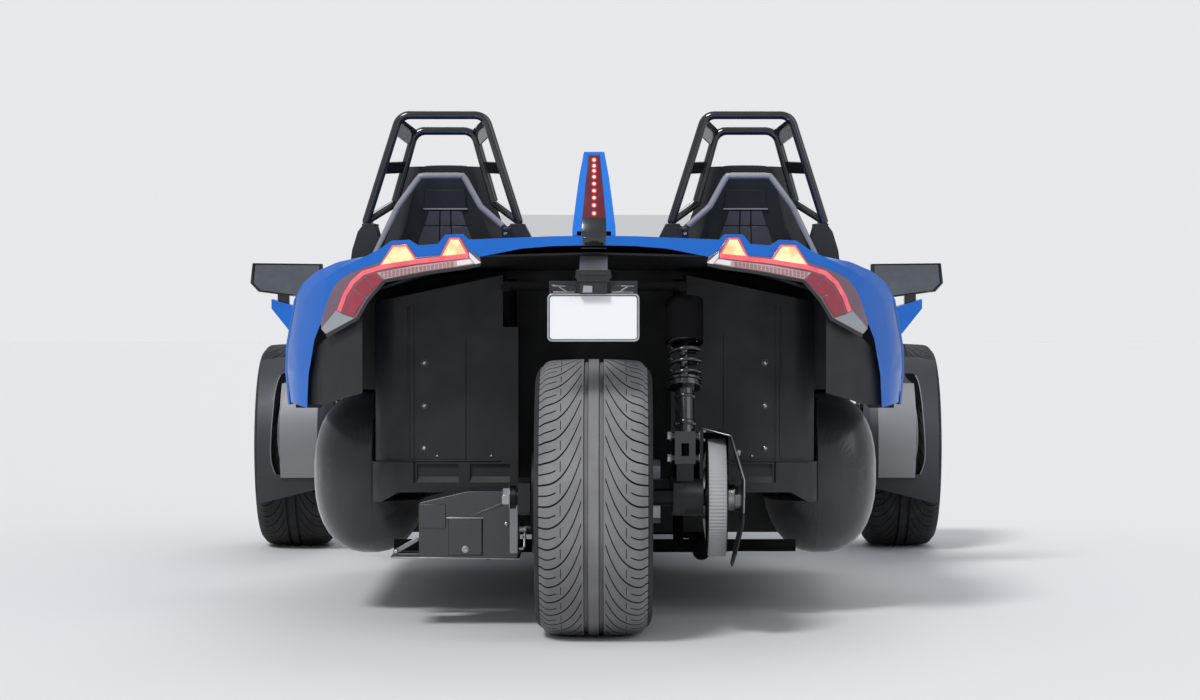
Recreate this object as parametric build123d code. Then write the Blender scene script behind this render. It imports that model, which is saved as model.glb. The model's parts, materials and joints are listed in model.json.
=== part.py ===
"""Open two-seat three-wheeled roadster: two steered wheels in front, one driven wheel behind.

Millimetres, +Z up, +Y to the nose, +X to the right-hand side. Shapes are drawn with Y measured
forward from the rear axle, and are moved at export so that the origin lies on the ground below
the middle of the overall length.
"""
import math
import os

from build123d import *

# Overall sizes
WHEELBASE = 2667.0
OVERALL_LENGTH = 3800.0
OVERALL_WIDTH = 2070.0

# Wheels: OD and section width of the tyre, bead radius and overall width of the rim
REAR_TYRE_OD, REAR_TYRE_WIDTH, REAR_BEAD_R, REAR_RIM_WIDTH = 643.0, 271.0, 229.0, 252.0
FRONT_TYRE_OD, FRONT_TYRE_WIDTH, FRONT_BEAD_R, FRONT_RIM_WIDTH = 620.0, 225.0, 216.0, 203.0
RIM_WALL = 7.0
RIM_FLANGE = 12.0
BEAD_INSET = 13.0

# Clearances
SEAT_GAP = 0.3
RUNNING_GAP = 0.05
PANEL_GAP = 6.0

# Panels
SKIN = 5.0
MOULDING = 6.0

# Places that follow from the sizes above
REAR_AXLE_Z = REAR_TYRE_OD / 2
FRONT_AXLE_Z = FRONT_TYRE_OD / 2
ORIGIN_Y = OVERALL_LENGTH / 2 - REAR_TYRE_OD / 2
FRONT_WHEEL_X = (OVERALL_WIDTH - FRONT_TYRE_WIDTH) / 2
NOSE_Y = OVERALL_LENGTH - REAR_TYRE_OD / 2


def ahead(share):
    """Y at a share of the way from the front axle to the tip of the nose."""
    return WHEELBASE + share * (NOSE_Y - WHEELBASE)


# Front corner
KINGPIN_OFFSET = 72.0
KINGPIN_X = FRONT_WHEEL_X - KINGPIN_OFFSET
SPINDLE_R = 18.0
UPPER_BALL_Z, LOWER_BALL_Z = 425.0, 218.0
BALL_BOSS_R, BALL_BOSS_H = 19.0, 26.0
UPRIGHT_WIDTH = 40.0
STEER_ARM_REACH = 110.0
STEER_ARM_Z, STEER_ARM_T = 285.0, 12.0
DISC_R, DISC_T = 140.0, 15.0
DISC_X = FRONT_WHEEL_X - 34.0
FENDER_GAP, FENDER_T = 25.0, 4.0
FENDER_TOP_ANGLE, FENDER_LOW_ANGLE = 126.0, 210.0
FENDER_LIP = 20.0
FENDER_SIDE_GAP = 14.0

# Space frame
RAIL_R = 22.0
RAIL_X, RAIL_Z = 260.0, 165.0
CROSS_R = 14.0
RACK_TUBE_R, RACK_R = 24.0, 13.0
TIE_BORE_R, TIE_BORE_Z, TIE_LUG_T = 12.0, 142.0, 12.0
JACK_Y, JACK_PAD_Z = 1260.0, 132.0
FRONT_RAIL_X = 205.0
FRONT_UPPER_RAIL_Z = 430.0
ARM_HALF_SPREAD = 120.0
FRAME_END_Y = ahead(0.347)
HINGE_X, HINGE_Y, HINGE_Z, HINGE_PIN_R = 120.0, ahead(0.664), 580.0, 6.0
HINGE_EYE_R, STRAP_X0, STRAP_X1 = 13.0, HINGE_X - 8, HINGE_X + 4

# Rear wheel drive
AXLE_R = 20.0
AXLE_LEFT_X, AXLE_RIGHT_X = -186.0, 336.0
CARRIER_X0, CARRIER_X1, CARRIER_R = 186.0, 254.0, 43.0
SPROCKET_X0, SPROCKET_X1 = 262.0, 308.0
SPROCKET_R, BELT_T = 129.0, 8.0
SWING_PIVOT_Y, SWING_PIVOT_Z, SWING_PIVOT_R = REAR_TYRE_OD / 2 + 128.5, 300.0, 18.0
REAR_POST_X, REAR_POST_Y, REAR_TOP_Z = 206.0, SWING_PIVOT_Y + 70, 812.0
DRIVE_DRUM_R = 58.0
SHOCK_X = 212.0
SHOCK_FOOT = (SHOCK_X, 6.0, 466.0)
SHOCK_HEAD = (SHOCK_X, 120.0, 790.0)
SPRING_R, SPRING_WIRE_R, SPRING_TURNS = 36.0, 5.0, 7

# Cockpit
TUB_X = 620.0
FLOOR_Z = RAIL_Z + RAIL_R + SEAT_GAP
BULKHEAD_Y = 700.0
FIREWALL_Y = 1960.0
TUNNEL_X, TUNNEL_Z = 92.0, 430.0
SEAT_X = 381.0
COVER_Z = 846.0
WALL_TOP = COVER_Z - SEAT_GAP

# Hoops: half widths and heights of the two loops over each seat
HOOP_TUBE_R = 10.5
HOOP_REAR_Y, HOOP_FRONT_Y = 610.0, 725.0
HOOP_TOP_Z = 1236.0
HOOP_FOOT_Z = 972.0

# Rear deck and its tail
DECK_FRONT_Y = 540.0
RIM_DEPTH = 22.0
DECK_CROWN = 925.0
FIN_TOP_Z, FIN_BASE_Z = 1127.0, 912.0
LAMP_PROUD = 3.0
LAMP_DEPTH = RIM_DEPTH - 1.3 + LAMP_PROUD
PLATE_W, PLATE_H, PLATE_Z = 204.0, 105.0, 744.0
PLATE_Y = -296.0

STEERING_X = -SEAT_X
STEERING_CENTRE = (STEERING_X, 1405.0, 800.0)
STEERING_TILT = 24.0
STEERING_R = 170.0
COLUMN_BORE_R = 14.0
DASH_TOP = 826.0


def face_of(points):
    """Plane face from 3-D corner points."""
    return Face(Wire.make_polygon([Vector(*p) for p in points], close=True))


def prism_y(outline, low, high):
    """Outline of (x, z) points, extruded from y=low to y=high."""
    face = face_of([(x, low, z) for x, z in outline])
    return extrude(face, amount=high - low, dir=(0, 1, 0))


def prism_x(outline, low, high):
    """Outline of (y, z) points, extruded from x=low to x=high."""
    face = face_of([(low, y, z) for y, z in outline])
    return extrude(face, amount=high - low, dir=(1, 0, 0))


def prism_z(outline, low, high):
    """Outline of (x, y) points, extruded from z=low to z=high."""
    face = face_of([(x, y, low) for x, y in outline])
    return extrude(face, amount=high - low, dir=(0, 0, 1))


def block(x0, x1, y0, y1, z0, z1):
    """Box between two corners."""
    return prism_y([(x0, z0), (x1, z0), (x1, z1), (x0, z1)], y0, y1)


def rod(start, end, radius):
    """Round bar between two points."""
    a, b = Vector(*start), Vector(*end)
    return extrude(Plane(origin=a, z_dir=b - a) * Circle(radius), amount=(b - a).length)


def bent_tube(points, radius, bend):
    """Round tube along straight runs joined by bends."""
    path = FilletPolyline(*points, radius=bend)
    return sweep(Plane(origin=path @ 0, z_dir=path % 0) * Circle(radius), path=path)


def both(shape):
    """A right-hand shape with its mirror image on the left."""
    return [shape, mirror(shape, about=Plane.YZ)]


def left_of(shape):
    return mirror(shape, about=Plane.YZ)


def offset_line(line, wall):
    """Inner side of an open (x, z) line that runs outward and down."""
    normals = []
    for (x0, z0), (x1, z1) in zip(line, line[1:]):
        length = math.hypot(x1 - x0, z1 - z0)
        normals.append(((z1 - z0) / length, -(x1 - x0) / length))
    inner = []
    for i, (x, z) in enumerate(line):
        a = normals[max(i - 1, 0)]
        b = normals[min(i, len(normals) - 1)]
        mx, mz = a[0] + b[0], a[1] + b[1]
        scale = 2 * wall / (mx * mx + mz * mz)
        inner.append((x + mx * scale, z + mz * scale))
    return inner


def skin(stations, wall=SKIN):
    """Thin panel lofted through (y, line) stations, each line running outward and down."""
    sections = []
    for y, line in stations:
        ring = line + offset_line(line, wall)[::-1]
        sections.append(face_of([(x, y, z) for x, z in ring]))
    return loft(sections, ruled=True)


def solid_loft(stations):
    """Closed solid lofted through (y, outline) stations."""
    return loft([face_of([(x, y, z) for x, z in line]) for y, line in stations], ruled=True)


def ring_x(x0, x1, outer, inner, centre_y, centre_z):
    """Ring or disc about an axis along X."""
    plane = Plane(origin=(x0, centre_y, centre_z), z_dir=(1, 0, 0))
    shape = extrude(plane * Circle(outer), amount=x1 - x0)
    if inner:
        shape -= extrude(plane * Circle(inner), amount=x1 - x0)
    return shape


def fused(tubes):
    """One solid from shapes that meet."""
    return tubes[0].fuse(*tubes[1:])


def make_ladder():
    """Flat ladder of rails below the floor, with the tie-down lug and the jacking pads."""
    last_y = FRAME_END_Y - 16
    rail = bent_tube([(RAIL_X, 380, RAIL_Z), (RAIL_X, 2000, RAIL_Z), (FRONT_RAIL_X, 2260, RAIL_Z),
                      (FRONT_RAIL_X, FRAME_END_Y, RAIL_Z)], RAIL_R, 90)
    tubes = [rail, left_of(rail)]
    # Cross members: half length, y, z, radius
    cross_table = [
        (490, 400, 178, 15), (RAIL_X, REAR_POST_Y, RAIL_Z, CROSS_R), (RAIL_X, 1100, RAIL_Z, CROSS_R),
        (RAIL_X, 1900, RAIL_Z, CROSS_R), (240, 2080, RAIL_Z, CROSS_R),
        (FRONT_RAIL_X, 2330, RAIL_Z, CROSS_R), (FRONT_RAIL_X, last_y, RAIL_Z, CROSS_R),
    ]
    for half, y, z, radius in cross_table:
        tubes.append(rod((-half, y, z), (half, y, z), radius))
    for y in (WHEELBASE - ARM_HALF_SPREAD, WHEELBASE + ARM_HALF_SPREAD):
        bracket = block(FRONT_RAIL_X, 232, y - 20, y + 20, 175, 205)
        tubes += [bracket, left_of(bracket)]
    lug = block(-TIE_LUG_T / 2, TIE_LUG_T / 2, last_y - 16, last_y + 44, TIE_BORE_Z - 22, RAIL_Z)
    tubes.append(lug - ring_x(-20, 20, TIE_BORE_R, 0, last_y + 24, TIE_BORE_Z))
    for x in (-RAIL_X, RAIL_X):
        tubes.append(block(x - 32, x + 32, JACK_Y - 45, JACK_Y + 45, JACK_PAD_Z, RAIL_Z))
    return fused(tubes)


def make_front_cage():
    """Uprights and upper rails that stand on the ladder and carry the front suspension."""
    last_y, upper_z = FRAME_END_Y - 16, FRONT_UPPER_RAIL_Z
    arm_y = [WHEELBASE - ARM_HALF_SPREAD, WHEELBASE + ARM_HALF_SPREAD]
    tubes = [
        rod((FRONT_RAIL_X, 2300, upper_z), (FRONT_RAIL_X, FRAME_END_Y, upper_z), 16),
        rod((FRONT_RAIL_X, WHEELBASE, upper_z), (296, WHEELBASE, 574), 14),
        rod((FRONT_RAIL_X, last_y, upper_z), (HINGE_X + 31, HINGE_Y, HINGE_Z), 10),
        rod((HINGE_X - 12, HINGE_Y, HINGE_Z), (HINGE_X + 33, HINGE_Y, HINGE_Z), HINGE_PIN_R),
    ]
    for y in (2330, WHEELBASE - 27, WHEELBASE + 163, last_y):
        tubes.append(rod((FRONT_RAIL_X, y, RAIL_Z), (FRONT_RAIL_X, y, upper_z), 14))
    tubes += [left_of(tube) for tube in tubes]
    for y in (*arm_y, last_y):
        tubes.append(rod((-FRONT_RAIL_X, y, upper_z), (FRONT_RAIL_X, y, upper_z), 12))
    # Hangers of the steering rack
    rack_z = rack_place()[1]
    for x in (-170, 140):
        tubes.append(block(x, x + 30, arm_y[0] + 4, arm_y[0] + 16, rack_z + RACK_R + 4, upper_z))
    cage = fused(tubes) + make_rack_housing()
    for x in (-FRONT_RAIL_X, FRONT_RAIL_X):
        cage -= rod((x, 2200, RAIL_Z), (x, FRAME_END_Y + 40, RAIL_Z), RAIL_R + SEAT_GAP)
    return cage


def make_rear_cage():
    """Posts behind the seats, the rails below the deck and the swing arm's pivot."""
    x, y, top = REAR_POST_X, REAR_POST_Y, REAR_TOP_Z
    tubes = [
        rod((x, y, RAIL_Z), (x, y, top + 15), 13),
        rod((x, y, top), (x, 50, top), 12),
        rod((x, y, 640), (x, 180, top), 11),
        block(x + 8, x + 15, SWING_PIVOT_Y - 30, y + 8, SWING_PIVOT_Z - 34, SWING_PIVOT_Z + 34),
    ]
    tubes += [left_of(tube) for tube in tubes]
    for cross_y in (120, 64):
        tubes.append(rod((-x, cross_y, top), (x, cross_y, top), 11))
    tubes.append(rod((-x - 15, SWING_PIVOT_Y, SWING_PIVOT_Z),
                     (SPROCKET_X1 + 8, SWING_PIVOT_Y, SWING_PIVOT_Z), SWING_PIVOT_R))
    return fused(tubes) - rod((-RAIL_X, y, RAIL_Z), (RAIL_X, y, RAIL_Z), CROSS_R + SEAT_GAP)


def rack_place():
    """Height and place of the steering rack's axis."""
    return WHEELBASE - STEER_ARM_REACH, STEER_ARM_Z + STEER_ARM_T + 15


def make_cockpit_tub():
    """Floor, side walls, rear bulkhead and firewall of the open cockpit."""
    x = TUB_X
    floor = block(-x, x, BULKHEAD_Y, FIREWALL_Y, FLOOR_Z, FLOOR_Z + 14)
    # Side wall in (y, z): low where one steps in
    wall_line = [(BULKHEAD_Y, FLOOR_Z), (FIREWALL_Y, FLOOR_Z), (FIREWALL_Y, 760), (1640, 770),
                 (1400, 640), (1290, 590), (1120, 590), (980, 680), (820, WALL_TOP), (BULKHEAD_Y, WALL_TOP)]
    wall = prism_x(wall_line, x - 14, x)
    rear = block(-x, x, BULKHEAD_Y, BULKHEAD_Y + 14, FLOOR_Z, WALL_TOP)
    front = block(-x, x, FIREWALL_Y - 12, FIREWALL_Y, FLOOR_Z, 760)
    tub = floor + wall + left_of(wall) + rear + front
    # Toe board
    board = prism_x([(1700, FLOOR_Z), (1720, FLOOR_Z), (1960, 430), (1950, 440)], TUNNEL_X, x)
    return tub + board + left_of(board)


def make_centre_tunnel():
    """Console between the seats with the shift lever and an arm rest."""
    y0, y1 = BULKHEAD_Y + 14 + SEAT_GAP, 1639
    base = FLOOR_Z + 14 + SEAT_GAP
    side = [(y0, base), (y1, base), (y1, 560), (1624, 640), (1566, 640), (1480, 480), (1150, 430),
            (900, 440), (820, 520), (y0, 540)]
    tunnel = prism_x(side, -TUNNEL_X, TUNNEL_X)
    tunnel = chamfer(tunnel.edges().filter_by(Axis.Y).group_by(Axis.Z)[-1], 12)
    inner = [(y0 - 40, base - 10), (1580, base - 10), (1580, 600), (1470, 450), (1150, 405),
             (900, 415), (815, 495), (y0 - 40, 515)]
    tunnel -= prism_x(inner, -TUNNEL_X + 12, TUNNEL_X - 12)
    tunnel += rod((0, 1290, 436), (0, 1262, 560), 7)
    knob = Pos(0, 1258, 578) * Sphere(24)
    return tunnel + knob


def make_engine():
    """Engine and gearbox as plain blocks, with the drum that drives the belt."""
    block_low = RAIL_Z + 14 + SEAT_GAP
    engine = block(-170, 170, 2020, 2480, block_low, 640)
    engine = fillet(engine.edges().filter_by(Axis.Y), 20)
    gearbox = block(-70, 70, FIREWALL_Y + 10, 2020, block_low, 420)
    return engine + gearbox


def make_belt_drive():
    """Angle drive round the swing arm's pivot, with the drum that drives the belt."""
    y, z, bore = SWING_PIVOT_Y, SWING_PIVOT_Z, SWING_PIVOT_R + SEAT_GAP
    housing = block(-60, 160, y - 40, y + 46, z - 70, z + 84)
    housing = chamfer(housing.edges().filter_by(Axis.X), 14)
    housing += rod((50, y + 40, z), (50, REAR_POST_Y + 170, z - 20), 34)
    housing -= ring_x(-400, 400, bore, 0, y, z)
    drum = ring_x(SPROCKET_X0, SPROCKET_X1, DRIVE_DRUM_R, bore, y, z)
    return [housing, drum]


# Tail: plan of the rear edge, x and y, from the centre outward
TAIL_PLAN = [(0, 0), (290, 18), (470, 52), (560, 100), (640, 176), (700, 250), (760, 330)]
# Upper silhouette of the tail, x and z: two peaks over the lamps, then round the shoulder
TAIL_TOP = [(0, 930), (96, 929), (292, 921), (305, 934), (347, 933), (365, 911), (411, 908),
            (432, 921), (474, 919), (505, 898), (536, 883), (604, 870), (656, 850), (693, 825),
            (717, 785), (742, 662), (743, 602), (734, 531)]
# Lower edge of the blue rim, which is also the lamp's upper edge
RIM_LOW = [(0, 908), (96, 906), (170, 900), (266, 881), (290, 894), (309, 925), (341, 925),
           (358, 885), (414, 880), (437, 911), (470, 910), (501, 869), (540, 857), (573, 843),
           (601, 828), (619, 806), (631, 782), (651, 724), (668, 684), (684, 600), (688, 520)]
# Points of that edge between which the lamp lies
LAMP_SPAN = (3, 18)


# Facet along the tail's outer edge. Columns: silhouette x and z, and how far in its crease lies
FACET = [(545, 881, 2), (604, 870, 16), (656, 850, 25), (693, 825, 30), (717, 785, 31), (742, 662, 30),
         (743, 602, 28), (732, 510, 26)]
FACET_DEPTH = RIM_DEPTH - 3


def tail_y(x):
    """Y of the tail's plan at x."""
    for (x0, y0), (x1, y1) in zip(TAIL_PLAN, TAIL_PLAN[1:]):
        if x <= x1:
            return y0 + (y1 - y0) * (x - x0) / (x1 - x0)
    return TAIL_PLAN[-1][1]


def facet_wedge():
    """What the facet takes off the rim's outer edge."""
    sections = []
    for i, (x, z, inset) in enumerate(FACET):
        (xa, za, _), (xb, zb, _) = FACET[max(i - 1, 0)], FACET[min(i + 1, len(FACET) - 1)]
        out = Vector(za - zb, 0, xb - xa).normalized()
        crease_x, crease_z = x - out.X * inset, z - out.Z * inset
        edge_x, edge_z = x + out.X, z + out.Z
        sections.append(face_of([(crease_x, tail_y(crease_x) - 1, crease_z),
                                 (edge_x, tail_y(edge_x) + FACET_DEPTH, edge_z),
                                 (edge_x, tail_y(crease_x) - 40, edge_z)]))
    return loft(sections, ruled=True)


def tail_band(depth, lead=0.0):
    """Upright band that follows the tail's plan, lead millimetres behind it, depth thick."""
    back = [(x, y - lead) for x, y in TAIL_PLAN]
    front = [(x, y - lead + depth) for x, y in TAIL_PLAN]
    return prism_z(back + front[::-1], 400, 1000)


def make_tail_rim():
    """Blue rim round the tail, cut round the lamps, right half."""
    outline = TAIL_TOP + RIM_LOW[::-1]
    return (prism_y(outline, -20, 420) & tail_band(RIM_DEPTH)) - facet_wedge()


def behind_tail(lead):
    """Everything behind the tail's plan moved lead millimetres forward."""
    edge = [(x, y + lead) for x, y in TAIL_PLAN]
    return prism_z([(-1, -80)] + [(-1, lead)] + edge + [(900, 330 + lead), (900, -80)], 300, 1000)


def deck_line(z_drop, x_out):
    """Deck section: centre to shoulder."""
    return [(0, DECK_CROWN - z_drop), (96, DECK_CROWN - 1 - z_drop), (285, DECK_CROWN - 10 - z_drop),
            (x_out, DECK_CROWN - 33 - z_drop)]


# Rear deck: y, drop below the tail's edge and half width
DECK_STATIONS = [(10, 0, 494), (180, 14, 494), (360, 34, 494), (DECK_FRONT_Y, 52, 494)]


def make_rear_deck():
    """Blue deck between the rear fenders, with the rim round the tail."""
    half = skin([(y, deck_line(drop, x_out)) for y, drop, x_out in DECK_STATIONS])
    half -= behind_tail(RIM_DEPTH - 1)
    half += make_tail_rim()
    return half + left_of(half)


# Rear fender lines, outward and down. Columns: y, then (x, z) of crown, shoulder, side and sill
FENDER_STATIONS = [
    (40, [(500, 893), (560, 880), (606, 868), (655, 848), (691, 823), (715, 784), (740, 662),
          (741, 602), (733, 531)]),
    (330, [(500, 860), (570, 872), (622, 866), (668, 846), (703, 818), (726, 778), (748, 662),
           (749, 602), (742, 524)]),
    (640, [(500, 842), (580, 872), (632, 868), (676, 846), (711, 814), (734, 770), (754, 662),
           (756, 602), (748, 516)]),
    (830, [(628, 842), (650, 856), (668, 850), (690, 832), (716, 800), (736, 756), (756, 660),
           (758, 600), (750, 510)]),
    (1000, [(634, 670), (650, 690), (668, 688), (690, 676), (714, 660), (734, 640), (756, 606),
            (760, 570), (752, 506)]),
    (1140, [(638, 572), (652, 584), (668, 583), (690, 580), (714, 575), (736, 568), (756, 556),
            (760, 540), (752, 502)]),
]


def make_rear_fender():
    """Blue fender beside the seat and rear wheel bay, right side."""
    fender = skin(FENDER_STATIONS)
    fender -= behind_tail(RIM_DEPTH + SEAT_GAP)
    opening = block(400, TUB_X + PANEL_GAP, DECK_FRONT_Y + PANEL_GAP, 1300, 300, 1000)
    return fender - opening


# Lamp lower edge, x and z, from the inner tip outward
LAMP_LOW = [(262, 866), (300, 858), (493, 826), (534, 781), (560, 738), (637, 697), (649, 709)]


def make_rear_lamps():
    """Tail lamps under the rim and the lamp strip in the fin."""
    upper = [(x, z - SEAT_GAP) for x, z in RIM_LOW[slice(*LAMP_SPAN)]]
    outline = upper + LAMP_LOW[::-1]
    lamp = prism_y(outline, -20, 420) & tail_band(LAMP_DEPTH, LAMP_PROUD)
    return Compound(children=[lamp, left_of(lamp), make_fin_lamp()])


# Fin sections: z, half width at the rear, half width and y of the front edge
FIN_STATIONS = [(FIN_BASE_Z - 46, 53.0, 22.0, 540.0), (950.0, 50.0, 20.0, 474.0),
                (1014.0, 42.0, 18.0, 370.0), (1070.0, 34.5, 15.0, 280.0),
                (FIN_TOP_Z, 24.0, 12.0, 190.0)]
FIN_SLOPE = 60.0 / (FIN_TOP_Z - FIN_BASE_Z)
FIN_FOOT_Y = 6.0
FIN_LAMP_DEPTH = 14.0
FIN_LAMP_HALF = (29.0, 13.0)


def fin_lamp_body(gap):
    """Wedge set in the fin's rear face, smaller by the gap."""
    low_half, high_half = (half - gap for half in FIN_LAMP_HALF)
    z0, z1 = FIN_BASE_Z + 19 + gap, FIN_TOP_Z - 7 - gap
    low_y = FIN_FOOT_Y + FIN_SLOPE * (z0 - FIN_BASE_Z)
    high_y = FIN_FOOT_Y + FIN_SLOPE * (z1 - FIN_BASE_Z)
    depth = FIN_LAMP_DEPTH - gap
    low = face_of([(-low_half, low_y - 1, z0), (low_half, low_y - 1, z0),
                   (low_half, low_y + depth, z0), (-low_half, low_y + depth, z0)])
    high = face_of([(-high_half, high_y - 1, z1), (high_half, high_y - 1, z1),
                    (high_half, high_y + depth, z1), (-high_half, high_y + depth, z1)])
    return loft([low, high], ruled=True)


def make_spine_fin():
    """Blue fin on the deck's centre line, recessed for its lamp strip."""
    sections = []
    for z, rear_half, front_half, front_y in FIN_STATIONS:
        rear_y = FIN_FOOT_Y + FIN_SLOPE * (z - FIN_BASE_Z)
        sections.append(face_of([(-rear_half, rear_y, z), (rear_half, rear_y, z),
                                 (front_half, front_y, z), (-front_half, front_y, z)]))
    fin = loft(sections, ruled=True)
    rim_y, rim_z = RIM_DEPTH + 4, TAIL_TOP[0][1] + SEAT_GAP
    under = [(-80, 800), (-80, rim_z), (rim_y, rim_z)]
    under += [(max(y, rim_y), DECK_CROWN - drop + SEAT_GAP) for y, drop, _ in DECK_STATIONS]
    under.append((DECK_FRONT_Y, 800))
    fin -= prism_x(under, -100, 100)
    return fin - fin_lamp_body(0.0)


def make_fin_lamp():
    return fin_lamp_body(SEAT_GAP)


# Storage bin: foot at the corner and further in, sides, rear face, height of the lid inboard and
# outboard, and the rear flange that reaches in beside the wheel
BIN_LOW_Z, BIN_MID_Z, BIN_REAR_Y = 288.0, 312.0, 330.0
BIN_INNER_X, BIN_SIDE_X = 222.0, 534.0
BIN_SHELF_H, BIN_STEP, BIN_CORNER_R = 97.0, 8.0, 55.0
BIN_LID = (838.0, 772.0)
FLANGE_X, FLANGE_TOP = 185.0, 712.0
# Grooves in the bin's face: x, width, foot and top
BIN_GROOVES = [(311.0, 3.0, BIN_LOW_Z + 100, 690.0), (436.0, 5.0, BIN_LOW_Z + 48, 764.0)]
# Pockets in the shelf's face, from x to x
BIN_POCKETS = [(205.0, 302.0), (329.0, 430.0)]
POCKET_DEPTH = 9.0


def round_corner(box, radius):
    """Box with its outer rear upright edge rounded."""
    return fillet(box.edges().filter_by(Axis.Z).group_by(Axis.X)[-1].group_by(Axis.Y)[0], radius)


def make_storage_bin():
    """Hollow bin on the right of the wheel, with a shelf at its foot and a grooved face."""
    low, mid, step = BIN_LOW_Z, BIN_MID_Z, BIN_STEP
    inner_x, outer_x, y0, y1 = BIN_INNER_X, BIN_SIDE_X, BIN_REAR_Y, BULKHEAD_Y - SEAT_GAP
    shelf_z = low + BIN_SHELF_H
    outer = round_corner(block(inner_x, outer_x, y0, y1, shelf_z, 900), BIN_CORNER_R)
    shelf = round_corner(block(inner_x, outer_x + step, y0 - step, y1, low, shelf_z), BIN_CORNER_R + 5)
    shelf += block(FLANGE_X, inner_x + 1, y0 - step, y0 + MOULDING, mid, shelf_z)
    flange = block(FLANGE_X, inner_x + 1, y0, y0 + MOULDING, mid, FLANGE_TOP)
    inside = round_corner(block(inner_x + MOULDING, outer_x - MOULDING, y0 + MOULDING, y1 - MOULDING,
                                mid + MOULDING, 900), BIN_CORNER_R - MOULDING)
    below = prism_y([(FLANGE_X - 1, low - 1), (outer_x - 14, low - 1), (outer_x - 60, mid),
                     (FLANGE_X - 1, mid)], 300, 750)
    # The lid slopes with the ceiling above it
    lid_line = [(inner_x - 1, BIN_LID[0]), (outer_x + 1, BIN_LID[1]), (outer_x + 1, 950), (inner_x - 1, 950)]
    above = prism_y(lid_line, 300, 750)
    lid = outer & prism_y([(x, z - MOULDING) for x, z in lid_line], 300, 750)
    store = outer + shelf + flange - inside - below + lid - above
    face_y = y0 - step
    for x0, x1 in BIN_POCKETS:
        store -= prism_x([(face_y - 4, low + 48), (face_y, low + 48), (face_y + POCKET_DEPTH, low + 62),
                          (face_y + POCKET_DEPTH, low + 93), (face_y - 4, low + 93)], x0, x1)
    for x, width, foot, top in BIN_GROOVES:
        store -= block(x - width / 2, x + width / 2, y0 - step - 4, y0 + 3, foot, top)
    # Liner between the bin and the fender, above the pod
    liner = prism_y([(outer_x - 3, 556), (600, 560), (648, 540), (672, 512), (733, 512), (738, 600),
                     (736, 657), (715, 765), (692, 800), (646, 826), (590, 820), (outer_x - 3, 774)],
                    y0 + 110, y0 + 116)
    return store + liner


def make_rear_cowl():
    """Black liner below the deck, bins on both sides of the wheel and the lower flares."""
    # Ceiling under the deck: y, z at the centre, half width, z at the side
    ceiling_table = [(10, 893, 486, 812), (230, 874, 540, 800), (DECK_FRONT_Y, 854, 580, 790)]
    ceiling = skin([(y, [(0, z), (half * 0.6, z - 6), (half, z_side)])
                    for y, z, half, z_side in ceiling_table])
    ceiling -= behind_tail(RIM_DEPTH + 2)
    ceiling += left_of(ceiling)
    flare_line = [(547, 755), (562, 730), (636, 690), (664, 664), (690, 600), (694, 526), (640, 530),
                  (600, 544), (547, 560)]
    flare = prism_y(flare_line, -20, 420) & tail_band(MOULDING, -(RIM_DEPTH + SEAT_GAP))
    store = make_storage_bin()
    # The belt and the pivot pass through the right-hand bin
    belt_bay = block(FLANGE_X - 7, SPROCKET_X1 + 16, 300, SWING_PIVOT_Y + 110, 200, 456)
    return [ceiling, *both(flare), store - belt_bay, left_of(store)]


# Side pod: centre (x, z), half width, half height and squareness of its rounded section, and the
# lengths over which its ends are drawn in
POD_X, POD_Z, POD_HALF_X, POD_HALF_Z, POD_POWER = 560.0, 346.0, 140.0, 200.0, 2.4
POD_POINTS = 36
POD_REAR_Y, POD_DOME, POD_NOSE, POD_FRONT_Y = 448.0, 130.0, 80.0, 1910.0


def pod_ring(share):
    """Rounded (x, z) outline of the pod at a share of its full size."""
    ring = []
    for i in range(POD_POINTS):
        angle = 2 * math.pi * (i + 0.5) / POD_POINTS
        c, d = math.cos(angle), math.sin(angle)
        x = POD_HALF_X * math.copysign(abs(c) ** (2 / POD_POWER), c)
        z = POD_HALF_Z * math.copysign(abs(d) ** (2 / POD_POWER), d)
        ring.append((POD_X + x * share, POD_Z + z * share))
    return ring


def make_side_pods():
    """Rounded black sills outside the tub, domed at both ends, with a seam at the bulkhead."""
    stations = []
    for angle in (12, 30, 48, 66, 90):
        lean = math.radians(angle)
        stations.append((POD_REAR_Y + POD_DOME * (1 - math.cos(lean)), pod_ring(math.sin(lean) ** 0.7)))
    for angle in (90, 60, 30):
        lean = math.radians(angle)
        stations.append((POD_FRONT_Y - POD_NOSE * (1 - math.cos(lean)), pod_ring(math.sin(lean) ** 0.4)))
    pod = solid_loft(stations)
    seam = BULKHEAD_Y - 10
    side_x = BIN_SIDE_X + BIN_STEP + PANEL_GAP
    dome = pod & block(side_x, 800, 400, seam, 100, 700)
    belly = pod & block(400, side_x - SEAT_GAP, 400, seam, 100, BIN_LOW_Z - PANEL_GAP)
    sill = pod & block(TUB_X + SEAT_GAP, 800, seam + SEAT_GAP, 2000, 100, 700)
    return [*both(dome), *both(belly), *both(sill)]


# Front side panel lines, outward and down
SIDE_STATIONS = [
    (1148, [(620.4, 570), (652, 584), (690, 580), (736, 568), (758, 552), (760, 536), (752, 502)]),
    (1400, [(620.4, 636), (652, 672), (690, 668), (738, 640), (764, 600), (768, 556), (754, 498)]),
    (1620, [(630, 800), (640, 812), (690, 800), (742, 744), (768, 660), (770, 590), (754, 494)]),
    (1860, [(566, 838), (610, 832), (662, 800), (712, 730), (730, 650), (732, 580), (716, 480)]),
    (2120, [(478, 786), (508, 776), (548, 744), (586, 690), (600, 620), (600, 556), (588, 462)]),
    (2360, [(402, 738), (424, 728), (446, 704), (466, 664), (474, 610), (474, 556), (466, 450)]),
]
VENT = [(1880, 520), (2210, 500), (2270, 640), (2010, 668)]
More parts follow.
